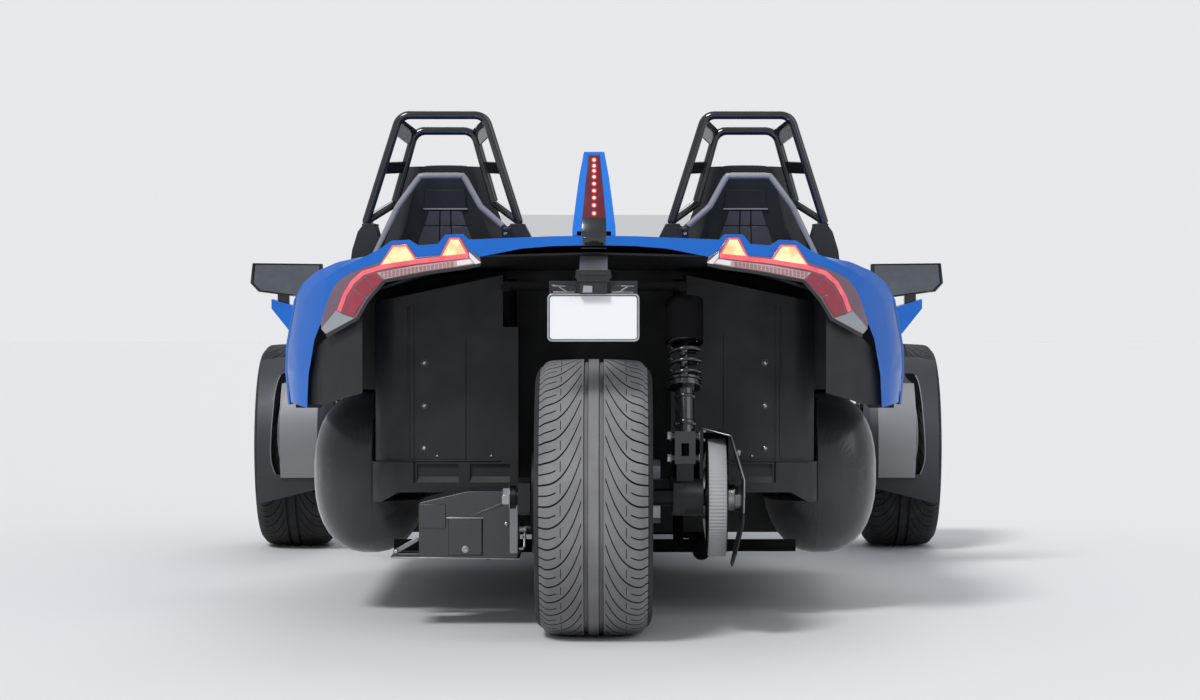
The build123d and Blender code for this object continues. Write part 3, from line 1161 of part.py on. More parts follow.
def make_steering_wheel():
    """Flat-bottomed steering wheel with three spokes and a boss on its column."""
    rim = Torus(STEERING_R, 14)
    wheel = rim - Pos(0, -STEERING_R - 12, 0) * Box(260, 60, 60)
    bottom = extrude(Plane(origin=(-86, -138, 0), z_dir=(1, 0, 0)) * Circle(13), amount=172)
    boss = Pos(0, 0, -8) * Cylinder(46, 34)
    wheel += bottom + boss
    for angle in (4, 176, 270):
        wheel += Rot(Z=angle) * (Pos(STEERING_R / 2 + 8, 0, -2) * Box(STEERING_R - 18, 34, 10))
    wheel += Pos(0, 0, -44.4) * Cylinder(COLUMN_BORE_R, 40.8)
    lean = Plane(origin=STEERING_CENTRE, x_dir=(1, 0, 0),
                 z_dir=(0, -math.cos(math.radians(STEERING_TILT)), math.sin(math.radians(STEERING_TILT))))
    return lean.location * wheel


def make_steering_rack():
    """Rack bar with the track rods to the studs above both steering arms."""
    y, z = rack_place()
    tip = KINGPIN_X - 20
    stud_low, stud_high = STEER_ARM_Z + STEER_ARM_T + 1, z + 13
    bar = rod((-tip, y, z), (tip, y, z), 8)
    bar += rod((-250, y, z), (250, y, z), RACK_R)
    for side in (-1, 1):
        bar += Pos(side * tip, y, (stud_low + stud_high) / 2) * Cylinder(13, stud_high - stud_low)
    return bar


def make_rack_housing():
    """Tube round the rack between the frame rails."""
    y, z = rack_place()
    half = FRONT_RAIL_X - 14 - PANEL_GAP
    return ring_x(-half, half, RACK_TUBE_R, RACK_R + RUNNING_GAP, y, z)


def build_nodes():
    """Node name to shape or list of shapes."""
    front_centre = (FRONT_WHEEL_X, WHEELBASE, FRONT_AXLE_Z)
    rear_centre = (0, 0, REAR_AXLE_Z)
    fender, panel = make_rear_fender(), make_side_panel()
    front_tyre = make_tyre(front_centre, FRONT_TYRE_OD, FRONT_TYRE_WIDTH, FRONT_BEAD_R, FRONT_RIM_WIDTH)
    front_rim, knuckle, guard = make_front_rim(), make_knuckle(), make_front_fender()
    arms = make_front_arms()
    rear_hub = (-70, REAR_RIM_WIDTH / 2 - 40, 70)
    return {
        "space_frame": [make_ladder(), make_front_cage(), make_rear_cage()],
        "cockpit_tub": make_cockpit_tub(),
        "centre_tunnel": make_centre_tunnel(),
        "engine": make_engine(),
        "belt_drive": make_belt_drive(),
        "rear_deck": make_rear_deck(),
        "rear_fender_right": fender,
        "rear_fender_left": left_of(fender),
        "rear_cowl": make_rear_cowl(),
        "side_pods": make_side_pods(),
        "rear_lamps": make_rear_lamps(),
        "spine_fin": make_spine_fin(),
        "plate_holder": make_plate_holder(),
        "plate": make_plate(),
        "side_panel_right": panel,
        "side_panel_left": left_of(panel),
        "hood": make_hood(),
        "nose": make_nose(),
        "headlamps": make_headlamps(),
        "lower_bumper": make_lower_bumper(),
        "dash": make_dash(),
        "windscreen": make_windscreen(),
        "mirrors": make_mirrors(),
        "seat_shells": both(make_seat_shell()),
        "seat_pads": both(make_seat_pad()),
        "hoops": both(make_hoop()),
        "hoop_mounts": make_hoop_mounts(),
        "front_arms": [*arms, *(left_of(arm) for arm in arms)],
        "coilovers": make_coilovers(),
        "steering_rack": make_steering_rack(),
        "steering_wheel": make_steering_wheel(),
        "knuckle_right": knuckle,
        "knuckle_left": left_of(knuckle),
        "front_fender_right": guard,
        "front_fender_left": left_of(guard),
        "front_rim_right": front_rim,
        "front_rim_left": left_of(front_rim),
        "front_tyre_right": front_tyre,
        "front_tyre_left": left_of(front_tyre),
        "swingarm": [make_swingarm(), make_belt_guard()],
        "rear_shock": make_rear_shock(),
        "drive_belt": make_drive_belt(),
        "rear_axle": make_rear_axle(),
        "rear_rim": make_rim(rear_centre, REAR_BEAD_R, REAR_RIM_WIDTH, rear_hub, AXLE_R + SEAT_GAP),
        "rear_tyre": make_tyre(rear_centre, REAR_TYRE_OD, REAR_TYRE_WIDTH, REAR_BEAD_R, REAR_RIM_WIDTH),
        "silencer": make_silencer(),
    }


def solids_of(shape):
    """All solids of a shape or a list of shapes."""
    shapes = shape if isinstance(shape, list) else [shape]
    return [solid for one in shapes for solid in one.solids()]


def main():
    os.makedirs("parts", exist_ok=True)
    move = Pos(0, -ORIGIN_Y, 0)
    for name, shape in build_nodes().items():
        solids = [move * solid for solid in solids_of(shape)]
        whole = solids[0] if len(solids) == 1 else Compound(children=solids)
        export_step(whole, f"parts/{name}.step")


main()
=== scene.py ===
"""Look of the three-wheeled roadster: materials, tread, pads, lamps and small fittings.

Metres, in the row frame: +Y to the nose, +X to the right-hand side, +Z up.
"""
import json
import math

import bmesh
import bpy
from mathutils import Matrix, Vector
from mathutils.bvhtree import BVHTree


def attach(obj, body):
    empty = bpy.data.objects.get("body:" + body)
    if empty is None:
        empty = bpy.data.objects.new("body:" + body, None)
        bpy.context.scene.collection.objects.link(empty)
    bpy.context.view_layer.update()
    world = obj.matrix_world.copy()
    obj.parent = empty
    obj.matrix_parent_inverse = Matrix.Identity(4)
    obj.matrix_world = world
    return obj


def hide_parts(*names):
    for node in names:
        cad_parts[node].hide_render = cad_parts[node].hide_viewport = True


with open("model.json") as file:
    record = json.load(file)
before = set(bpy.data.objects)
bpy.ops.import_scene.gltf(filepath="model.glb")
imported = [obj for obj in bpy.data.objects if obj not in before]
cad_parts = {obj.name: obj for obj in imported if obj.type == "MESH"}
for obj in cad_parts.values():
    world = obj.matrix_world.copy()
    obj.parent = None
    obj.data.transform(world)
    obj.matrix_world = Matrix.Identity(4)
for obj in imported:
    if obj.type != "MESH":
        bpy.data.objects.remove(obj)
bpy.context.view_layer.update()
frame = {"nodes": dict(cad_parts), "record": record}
nodes = frame["nodes"]

RIGHT, LEFT, AHEAD, BACK, UP, DOWN = (1, 0, 0), (-1, 0, 0), (0, 1, 0), (0, -1, 0), (0, 0, 1), (0, 0, -1)
SIDES = ((1, "right"), (-1, "left"))

# Wheels' middles in metres
REAR_Y, FRONT_Y = -1.5785, 1.0885
REAR_AXLE = Vector((0, REAR_Y, 0.3215))
FRONT_X, FRONT_Z = 0.9225, 0.310
# The same in the model's own millimetres, from the ground below the rear axle, and a seat's middle
REAR_Z = 321.5
WHEEL_X, WHEEL_Y, WHEEL_Z = 922.5, 2667, 310
SEAT_X = 381

# Camera behind the rear axle, at the height of the photograph's horizon
CAMERA_BACK, CAMERA_X, CAMERA_Z = 8.2, 0.0408, 0.8595
CAMERA_DOWN = 1.364

camera = bpy.data.objects.new("camera", bpy.data.cameras.new("camera"))
bpy.context.scene.collection.objects.link(camera)
camera.location = (CAMERA_X, REAR_Y - CAMERA_BACK, CAMERA_Z)
camera.rotation_euler = (math.radians(90 - CAMERA_DOWN), 0, 0)
camera.data.sensor_width = 36.0
camera.data.lens = 105.8
camera.data.shift_x = -0.0096
bpy.context.scene.camera = camera


# Materials
def new_material(name, color, roughness, metallic=0.0, coat=0.0, coat_rough=0.03, specular=0.5):
    mat = bpy.data.materials.new(name)
    mat.use_nodes = True
    shader = mat.node_tree.nodes["Principled BSDF"]
    shader.inputs["Base Color"].default_value = (*color, 1)
    shader.inputs["Roughness"].default_value = roughness
    shader.inputs["Metallic"].default_value = metallic
    shader.inputs["Coat Weight"].default_value = coat
    shader.inputs["Coat Roughness"].default_value = coat_rough
    shader.inputs["Specular IOR Level"].default_value = specular
    return mat, shader


def add(mat, kind, **values):
    """New node, with values for its inputs or its own settings."""
    node = mat.node_tree.nodes.new(kind)
    for key, value in values.items():
        if key in node.inputs:
            node.inputs[key].default_value = value
        else:
            setattr(node, key, value)
    return node


def link(mat, source, target):
    mat.node_tree.links.new(source, target)


def coords(mat, scale=(1, 1, 1)):
    place = add(mat, "ShaderNodeTexCoord")
    mapping = add(mat, "ShaderNodeMapping", Scale=scale)
    link(mat, place.outputs["Object"], mapping.inputs["Vector"])
    return mapping.outputs["Vector"]


def noise(mat, scale, detail=4.0, rough=0.5, stretch=(1, 1, 1)):
    node = add(mat, "ShaderNodeTexNoise", Scale=scale, Detail=detail, Roughness=rough)
    link(mat, coords(mat, stretch), node.inputs["Vector"])
    return node.outputs["Fac"]


def ramp(mat, source, stops, target):
    """Two stops over a source, each a colour or a grey value, linked to a socket."""
    node = add(mat, "ShaderNodeValToRGB")
    for element, (place, shade) in zip(node.color_ramp.elements, stops):
        element.position = place
        element.color = (*shade, 1) if isinstance(shade, tuple) else (shade, shade, shade, 1)
    link(mat, source, node.inputs["Fac"])
    link(mat, node.outputs["Color"], target)


def bump(mat, shader, source, strength, distance):
    node = add(mat, "ShaderNodeBump", Strength=strength, Distance=distance)
    link(mat, source, node.inputs["Height"])
    link(mat, node.outputs["Normal"], shader.inputs["Normal"])


def multiply(mat, shader, share):
    """Mix node that multiplies two colours into the base colour."""
    mix = add(mat, "ShaderNodeMix", data_type="RGBA", blend_type="MULTIPLY")
    mix.inputs["Factor"].default_value = share
    link(mat, mix.outputs[2], shader.inputs["Base Color"])
    return mix.inputs[6], mix.inputs[7]


def times(color, factor, more=0.0):
    return tuple(c * factor + more for c in color)


def paint(name, dark, light, metallic, roughness, coat):
    """Metallic paint: flakes under a clear coat, with faint orange peel and road film."""
    mat, shader = new_material(name, light, roughness, metallic, coat, 0.04, 0.35)
    flakes = add(mat, "ShaderNodeTexVoronoi", Scale=2600.0)
    link(mat, coords(mat), flakes.inputs["Vector"])
    base, spark = multiply(mat, shader, 0.7)
    ramp(mat, noise(mat, 2.2, 3.0, 0.55), [(0.25, dark), (0.75, light)], base)
    ramp(mat, flakes.outputs["Distance"], [(0.0, 1.0), (0.5, 0.78)], spark)
    ramp(mat, noise(mat, 9.0, 5.0, 0.6), [(0.3, roughness - 0.05), (0.8, roughness + 0.1)],
         shader.inputs["Roughness"])
    bump(mat, shader, noise(mat, 240.0, 2.0), 0.02, 0.002)
    return mat


def plastic(name, color, roughness=0.55, grain=900.0, strength=0.12, worn=0.35, coat=0.0, sheen=0.0):
    """Moulded plastic with a fine grain and slightly greyer worn patches; sheen is its film of dust."""
    mat, shader = new_material(name, color, roughness, coat=coat)
    shader.inputs["Sheen Weight"].default_value = sheen
    ramp(mat, noise(mat, 6.0, 6.0, 0.6), [(0.35, color), (0.75, times(color, 1 + worn, 0.004))],
         shader.inputs["Base Color"])
    ramp(mat, noise(mat, 14.0), [(0.3, roughness - 0.08), (0.7, roughness + 0.1)], shader.inputs["Roughness"])
    bump(mat, shader, noise(mat, grain, 2.0), strength, 0.0006)
    return mat


def metal(name, color, roughness, stretch=(1, 1, 1), scale=60.0, strength=0.06):
    """Bare or blasted metal with faint working marks and cloudy roughness."""
    mat, shader = new_material(name, color, roughness, 1.0)
    marks = noise(mat, scale, 6.0, 0.65, stretch)
    ramp(mat, marks, [(0.2, times(color, 0.82)), (0.8, color)], shader.inputs["Base Color"])
    ramp(mat, noise(mat, 18.0, 5.0), [(0.25, roughness - 0.1), (0.8, roughness + 0.12)],
         shader.inputs["Roughness"])
    bump(mat, shader, marks, strength, 0.0008)
    return mat


def powder(name, color, roughness=0.42):
    """Powder-coated steel."""
    mat, shader = new_material(name, color, roughness, coat=0.12, coat_rough=0.2, specular=0.4)
    ramp(mat, noise(mat, 5.0, 5.0), [(0.3, color), (0.8, times(color, 1.5, 0.003))],
         shader.inputs["Base Color"])
    bump(mat, shader, noise(mat, 420.0, 2.0), 0.1, 0.0005)
    return mat


def rubber(name, color, roughness, dusty):
    """Rubber with a film of dust in large soft patches."""
    mat, shader = new_material(name, color, roughness, specular=0.3)
    ramp(mat, noise(mat, 7.0, 7.0, 0.62), [(0.42, color), (0.9, dusty)], shader.inputs["Base Color"])
    ramp(mat, noise(mat, 30.0), [(0.3, roughness - 0.1), (0.7, roughness + 0.08)], shader.inputs["Roughness"])
    bump(mat, shader, noise(mat, 700.0, 3.0), 0.15, 0.0005)
    return mat


def glow(name, color, dim, bright, strength, scale):
    """Lit lens, cloudy between a dim and a bright colour as the lamp shines through it."""
    mat, shader = new_material(name, color, 0.12, coat=0.6)
    cloud = noise(mat, scale, 2.0)
    ramp(mat, cloud, [(0.35, dim), (0.62, bright)], shader.inputs["Emission Color"])
    shader.inputs["Emission Strength"].default_value = strength
    ramp(mat, cloud, [(0.2, times(color, 0.75)), (0.8, color)], shader.inputs["Base Color"])
    bump(mat, shader, noise(mat, 900.0, 1.0), 0.15, 0.0006)
    return mat


def lens(name, color, alpha):
    """Clear or smoked plastic that lets the view through."""
    roughness = 0.05
    mat, shader = new_material(name, color, roughness, coat=0.4)
    shader.inputs["Alpha"].default_value = alpha
    ramp(mat, noise(mat, 30.0, 3.0), [(0.3, roughness), (0.8, roughness + 0.06)], shader.inputs["Roughness"])
    return mat


def weave(name, color, scale=420.0):
    """Woven fabric: crossing threads from two wave textures."""
    mat, shader = new_material(name, color, 0.85, specular=0.25)
    shader.inputs["Sheen Weight"].default_value = 0.35
    shader.inputs["Sheen Roughness"].default_value = 0.4
    place = coords(mat)
    both = add(mat, "ShaderNodeMath", operation="MULTIPLY")
    for way, target in zip("XZ", both.inputs):
        wave = add(mat, "ShaderNodeTexWave", Scale=scale, Distortion=0.4, bands_direction=way)
        link(mat, place, wave.inputs["Vector"])
        link(mat, wave.outputs["Fac"], target)
    cloth, gaps = multiply(mat, shader, 0.6)
    ramp(mat, noise(mat, 4.0), [(0.3, color), (0.8, times(color, 1.6))], cloth)
    ramp(mat, both.outputs["Value"], [(0.0, 0.55), (0.6, 1.0)], gaps)
    bump(mat, shader, both.outputs["Value"], 0.25, 0.0006)
    return mat


BLUE = paint("blue_paint", (0.001, 0.12, 0.54), (0.002, 0.196, 0.8), 0.3, 0.34, 0.55)
GREY = paint("grey_paint", (0.042, 0.044, 0.05), (0.062, 0.065, 0.075), 0.3, 0.45, 0.05)
# Light grey of the front fenders' inner panels and slot lips: partly their own paint, partly painted sunlight
# that makes them lighter than the grey fender paint; on the lips it paints highlight lines
PALE_AND_LIT = paint("pale_grey_and_painted_light", (0.22, 0.222, 0.23), (0.28, 0.282, 0.29), 0.3, 0.42, 0.05)
BLACK = plastic("black_moulding", (0.0085, 0.0085, 0.0095), 0.52)
POD = plastic("pod_black", (0.012, 0.0125, 0.014), 0.36, 400.0, 0.03, 0.3, 0.2, sheen=0.3)
SHELL = plastic("seat_shell", (0.01, 0.0102, 0.0115), 0.6, 500.0, 0.2)
GLOSS = plastic("gloss_black", (0.008, 0.008, 0.009), 0.16, 300.0, 0.01, 0.1, 0.6)
FRAME = powder("frame_steel", (0.007, 0.007, 0.008))
# Near-black matte that paints shade: on the space frame, on the cup over the spring's upper end, and on the
# turned-in top of each front fender's slot
SHADE_BLACK, _ = new_material("painted_shade_black", (0.004, 0.004, 0.0045), 0.85, specular=0.06)
HOOP = powder("hoop_steel", (0.018, 0.018, 0.02), 0.38)
STEEL = powder("spring_steel", (0.03, 0.03, 0.033), 0.35)
ALLOY = metal("alloy", (0.13, 0.135, 0.145), 0.36)
AXLE = metal("axle_steel", (0.03, 0.03, 0.033), 0.4)
ALU = metal("raw_aluminium", (0.55, 0.56, 0.58), 0.33)
SHEET = metal("sheet_grey", (0.105, 0.107, 0.113), 0.42, (1, 1, 14), 40.0)
SHEET_EDGE = metal("sheet_edge", (0.32, 0.32, 0.33), 0.36)
CAST = metal("engine_metal", (0.2, 0.2, 0.21), 0.55, scale=200.0, strength=0.3)
ZINC = metal("bolt_metal", (0.5, 0.5, 0.5), 0.3)
TYRE = rubber("tyre", (0.018, 0.018, 0.019), 0.8, (0.05, 0.049, 0.047))
# Light rubber of the rear tyre's crown: partly dust, partly painted sunlight
CROWN_DUST_AND_LIGHT = rubber("tyre_dust_and_painted_light", (0.16, 0.158, 0.162), 0.78, (0.24, 0.238, 0.235))
TRIM = rubber("trim_rubber", (0.009, 0.009, 0.0095), 0.6, (0.03, 0.03, 0.03))
BELT = rubber("belt", (0.3, 0.305, 0.31), 0.7, (0.42, 0.42, 0.42))
FABRIC = weave("seat_cover", (0.016, 0.016, 0.018))
WEBBING = weave("belt_webbing", (0.045, 0.045, 0.048), 900.0)
THREAD = plastic("seam_thread", (0.12, 0.12, 0.125), 0.8)
PLATE = plastic("plate_white", (0.78, 0.79, 0.8), 0.35, 1500.0, 0.05, 0.02, 0.3)
LENS = plastic("lamp_smoked", (0.13, 0.07, 0.095), 0.14, 700.0, 0.04, 0.5, 0.8)
PINK = glow("lamp_pink", (0.5, 0.07, 0.09), (0.8, 0.085, 0.12), (0.95, 0.15, 0.19), 0.6, 40.0)
HOT = glow("lamp_hot", (0.6, 0.4, 0.2), (1.0, 0.42, 0.2), (1.0, 0.84, 0.45), 0.85, 34.0)
DOT = glow("lamp_dot", (0.8, 0.5, 0.45), (1.0, 0.55, 0.48), (1.0, 0.8, 0.72), 1.0, 300.0)
FIN_HALO = glow("lamp_halo", (0.4, 0.015, 0.02), (0.7, 0.02, 0.03), (0.85, 0.05, 0.06), 0.5, 300.0)
FIN_RED = plastic("fin_red", (0.1, 0.006, 0.014), 0.14, 500.0, 0.05, 0.6, 0.3)
DARK_RED = plastic("reflector_red", (0.24, 0.018, 0.036), 0.16, 1300.0, 0.35, 0.4, 0.5)
STRIP = plastic("lamp_strip", (0.48, 0.31, 0.3), 0.2, 800.0, 0.1, 0.2, 0.6)
CELL = plastic("lamp_cell", (0.27, 0.15, 0.16), 0.14, 600.0, 0.1, 0.5, 0.7)
BRIGHT = plastic("lamp_bright", (0.75, 0.72, 0.74), 0.15, 500.0, 0.1, 0.05, 0.7)
SMOKE = plastic("lamp_grey", (0.26, 0.27, 0.29), 0.3, 800.0, 0.08, 0.2, 0.4)
# Satin grey of the bars behind the seats: partly painted highlight, sunlight glinting along a dark tube
BAR_GREY_LIT = powder("bar_grey_painted_highlight", (0.2, 0.2, 0.21), 0.32)
GAUGE = plastic("gauge_face", (0.012, 0.012, 0.014), 0.4, 800.0, 0.05)
MARK = plastic("gauge_mark", (0.7, 0.7, 0.7), 0.5, 800.0, 0.05, 0.05)
NEEDLE = plastic("needle_red", (0.6, 0.03, 0.02), 0.4, 800.0, 0.05)
GLASS = plastic("display_glass", (0.01, 0.012, 0.016), 0.07, 300.0, 0.01, 0.2, 0.8)
REFLECTOR = metal("lamp_reflector", (0.75, 0.76, 0.78), 0.16, strength=0.02)
RADIATOR = metal("radiator", (0.05, 0.05, 0.053), 0.5, strength=0.2)
# Near-black plugs that paint the shade inside drilled holes
HOLE_SHADE = plastic("painted_hole_shade", (0.01, 0.01, 0.01), 0.7)
CLEAR = lens("lamp_clear", (0.7, 0.74, 0.78), 0.35)
SCREEN = lens("screen", (0.16, 0.18, 0.2), 0.16)
SEAT_PANEL = plastic("seat_panel", (0.055, 0.055, 0.068), 0.5, 500.0, 0.15)
SEAT_LINE = plastic("seat_line", (0.2, 0.2, 0.19), 0.5, 500.0, 0.1)
MIRROR = metal("mirror_glass", (0.2, 0.21, 0.23), 0.06, strength=0.0)

# Look of each slot, and of the nodes that look unlike their slot
by_slot = {
    "blue_paint": BLUE, "black_moulding": BLACK, "frame_steel": FRAME, "grey_panel": GREY, "alloy": ALLOY,
    "raw_aluminium": ALU, "tyre": TYRE, "belt": BELT, "lamp_red": LENS, "lamp_clear": CLEAR, "screen": SCREEN,
    "seat_cover": FABRIC, "seat_shell": SHELL, "spring_steel": STEEL, "plate_white": PLATE,
    "hoop_steel": HOOP, "sheet_grey": SHEET, "engine_metal": CAST,
}
special = {
    # The space frame takes the painted-shade black, which sinks it into the dark under the body
    "side_pods": POD, "mirrors": GLOSS, "hoops": GLOSS, "rear_shock": GLOSS, "space_frame": SHADE_BLACK,
    "rear_axle": AXLE,
}

# Bevel width in metres of each carried-over node; other nodes get the default
DEFAULT_BEVEL = 0.0022
bevel_of = {
    "space_frame": 0, "engine": 0.004, "coilovers": 0, "rear_shock": 0, "front_arms": 0, "drive_belt": 0,
    "steering_rack": 0.001, "plate": 0.0005, "windscreen": 0.0015, "hoops": 0, "rear_lamps": 0.0015,
    "side_pods": 0.02, "steering_wheel": 0.003, "spine_fin": 0.005, "seat_shells": 0.004,
}

# Angles in degrees over which edges stay sharp, on nodes and on pieces, and over which nodes are bevelled
NODE_SHARP, PIECE_SHARP, NODE_BEVEL = 28, 34, 32


def smooth_group(degrees):
    """Node group that shades a mesh smooth but for edges over an angle."""
    group = bpy.data.node_groups.new("smooth_by_angle", "GeometryNodeTree")
    group.interface.new_socket("Geometry", in_out="INPUT", socket_type="NodeSocketGeometry")
    group.interface.new_socket("Geometry", in_out="OUTPUT", socket_type="NodeSocketGeometry")
    start, end = group.nodes.new("NodeGroupInput"), group.nodes.new("NodeGroupOutput")
    angle = group.nodes.new("GeometryNodeInputMeshEdgeAngle")
    over = group.nodes.new("FunctionNodeCompare")
    over.operation = "GREATER_THAN"
    over.inputs["B"].default_value = math.radians(degrees)
    normal = group.nodes.new("GeometryNodeSetMeshNormal")
    normal.mode = "SHARPNESS"
    normal.inputs["Remove Custom"].default_value = True
    normal.inputs["Face Sharpness"].default_value = False
    group.links.new(start.outputs[0], normal.inputs["Mesh"])
    group.links.new(angle.outputs["Unsigned Angle"], over.inputs["A"])
    group.links.new(over.outputs["Result"], normal.inputs["Edge Sharpness"])
    group.links.new(normal.outputs["Mesh"], end.inputs[0])
    return group


def dress_frame():
    """Materials, smooth shading and rounded edges for the carried-over nodes."""
    smooth = smooth_group(NODE_SHARP)
    slots = {part["node"]: part["material_slot"] for part in frame["record"]["subparts"]}
    for name, obj in nodes.items():
        obj.data.materials.clear()
        obj.data.materials.append(special.get(name, by_slot[slots[name]]))
        weld = obj.modifiers.new("weld", "WELD")
        weld.merge_threshold = 0.00002
        shade = obj.modifiers.new("smooth", "NODES")
        shade.node_group = smooth
        width = bevel_of.get(name, DEFAULT_BEVEL)
        if width:
            bevel = obj.modifiers.new("bevel", "BEVEL")
            bevel.width = width
            bevel.segments = 3
            bevel.limit_method = "ANGLE"
            bevel.angle_limit = math.radians(NODE_BEVEL)
            bevel.use_clamp_overlap = True


# Outlines, as lists of (x, z) points
def taper(x, low, half_low, high, half_high):
    """Four-sided outline about x, with half its width at its low and at its high edge."""
    return [(x - half_low, low), (x + half_low, low), (x + half_high, high), (x - half_high, high)]


def rounded(half_w, half_h, radius, x=0, z=0):
    """Rounded rectangle about a point."""
    steps = 6
    points = []
    for quarter, (sx, sz) in enumerate([(1, 1), (-1, 1), (-1, -1), (1, -1)]):
        for i in range(steps + 1):
            t = math.radians(90 * quarter + 90 * i / steps)
            points.append((sx * (half_w - radius) + radius * math.cos(t) + x,
                           sz * (half_h - radius) + radius * math.sin(t) + z))
    return points


def grow(outline, by):
    """Closed outline moved outward."""
    area = sum(x0 * z1 - x1 * z0 for (x0, z0), (x1, z1) in zip(outline, outline[1:] + outline[:1]))
    sign = 1 if area > 0 else -1
    result = []
    for i, (x, z) in enumerate(outline):
        (xa, za), (xb, zb) = outline[i - 1], outline[(i + 1) % len(outline)]
        a = Vector((z - za, xa - x)).normalized() * sign
        b = Vector((zb - z, x - xb)).normalized() * sign
        push = (a + b) * by / max(1 + a.dot(b), 0.5)
        result.append((x + push.x, z + push.y))
    return result


def band(line, width):
    """Closed outline round an open line."""
    upper, lower = [], []
    for i, (x, z) in enumerate(line):
        a, b = line[max(i - 1, 0)], line[min(i + 1, len(line) - 1)]
        side = Vector((a[1] - b[1], b[0] - a[0])).normalized() * width / 2
        upper.append((x + side.x, z + side.y))
        lower.append((x - side.x, z - side.y))
    return upper + lower[::-1]


def smooth_line(line, steps):
    """Points along an open line with its corners rounded off."""
    ends = [line[0]] + line + [line[-1]]
    points = []
    for a, b, c, d in zip(ends, ends[1:], ends[2:], ends[3:]):
        for i in range(steps):
            t = i / steps
            points.append(tuple(0.5 * (2 * q + (r - p) * t + (2 * p - 5 * q + 4 * r - s) * t * t
                                       + (3 * q - p - 3 * r + s) * t**3) for p, q, r, s in zip(a, b, c, d)))
    return points + [line[-1]]


# Solids, each as (vertices, faces). Lengths are millimetres in the model's own frame: X to the right,
# Y ahead of the rear axle, Z up. piece() brings them into the row frame.
def slab_faces(n):
    """Faces between two loops of n vertices, with both loops closed."""
    ends = [tuple(range(n)), tuple(range(2 * n - 1, n - 1, -1))]
    return ends + [(i, i + n, (i + 1) % n + n, (i + 1) % n) for i in range(n)]


def prism(outline, low, high):
    """Closed prism over an outline, from y low to y high."""
    return [(x, y, z) for y in (low, high) for x, z in outline], slab_faces(len(outline))


def fitted(outline, face_y, lead, thick):
    """Plate that stands lead behind a curved rear face, whose y is given by its height."""
    verts = [(x, face_y(z) + shift, z) for shift in (-lead, thick - lead) for x, z in outline]
    return verts, slab_faces(len(outline))


def loft(rings, closed=False):
    """Skin through rings of equal length, capped, or joined end to end where closed."""
    n = len(rings[0])
    verts = [tuple(v) for ring in rings for v in ring]
    faces = []
    for k in range(len(rings) if closed else len(rings) - 1):
        a, b = k * n, (k + 1) % len(rings) * n
        faces += [(a + i, a + (i + 1) % n, b + (i + 1) % n, b + i) for i in range(n)]
    if not closed:
        faces += [tuple(range(n)), tuple(range(len(verts) - 1, len(verts) - n - 1, -1))]
    return verts, faces


def frame_of(outer, inner, low, high):
    """Flat ring between two outlines of equal length, from y low to y high."""
    loops = ((outer, low), (inner, low), (inner, high), (outer, high))
    return loft([[(x, y, z) for x, z in loop] for loop, y in loops], True)


def tube(path, radius, sides=14, flat=1.0):
    """Round bar along an open path; flat squeezes it along its second axis."""
    points = [Vector(p) for p in path]
    rings = []
    side = None
    for i, point in enumerate(points):
        along = (points[min(i + 1, len(points) - 1)] - points[max(i - 1, 0)]).normalized()
        side = along.orthogonal() if side is None else side - along * side.dot(along)
        side.normalize()
        up = along.cross(side)
        turn = [2 * math.pi * k / sides for k in range(sides)]
        rings.append([point + side * radius * math.cos(t) + up * radius * flat * math.sin(t) for t in turn])
    return loft(rings)


def lathe(profile, centre, axis, turns=40):
    """Solid of revolution from (along, radius) points about an axis through centre."""
    axis = Vector(axis).normalized()
    side = axis.orthogonal().normalized()
    up = axis.cross(side)
    rings = []
    for along, radius in profile:
        rings.append([Vector(centre) + axis * along + (side * math.cos(t) + up * math.sin(t)) * radius
                      for t in (2 * math.pi * k / turns for k in range(turns))])
    return loft(rings)


def turned(profile, centre, axis, turns=40):
    """Lathe with flat ends, closed at the axis."""
    return lathe([(profile[0][0], 0)] + profile + [(profile[-1][0], 0)], centre, axis, turns)


def bolt(centre, axis, size):
    """Hexagon head with a chamfer and a dimple, on a washer; size is its corner radius."""
    rise = 1.6
    head = [(rise, size), (rise + size * 0.62, size), (rise + size * 0.74, size * 0.84),
            (rise + size * 0.74, size * 0.5), (rise + size * 0.6, size * 0.4)]
    washer = [(-0.5, size * 1.4), (1.0, size * 1.4), (rise, size * 1.28)]
    return [turned(head, centre, axis, 6), turned(washer, centre, axis, 28)]


def screw(centre, axis, size):
    """Domed screw head with a round recess."""
    shape = [(-0.5, size), (size * 0.22, size), (size * 0.5, size * 0.82), (size * 0.66, size * 0.45),
             (size * 0.66, size * 0.34), (size * 0.3, size * 0.3)]
    return [turned(shape, centre, axis, 24)]


def flip(part):
    """Mirror image in the middle plane."""
    verts, faces = part
    return [(-v[0], v[1], v[2]) for v in verts], [tuple(reversed(f)) for f in faces]


# Objects
def new_object(name, verts, faces, body, mat):
    mesh = bpy.data.meshes.new(name)
    mesh.from_pydata([tuple(v) for v in verts], [], faces)
    mesh.validate()
    mesh.update()
    mesh.materials.append(mat)
    obj = bpy.data.objects.new(name, mesh)
    bpy.context.scene.collection.objects.link(obj)
    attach(obj, body)
    return obj


def shade_smooth(mesh, sharp=PIECE_SHARP):
    for face in mesh.polygons:
        face.use_smooth = True
    mesh.set_sharp_from_angle(angle=math.radians(sharp))


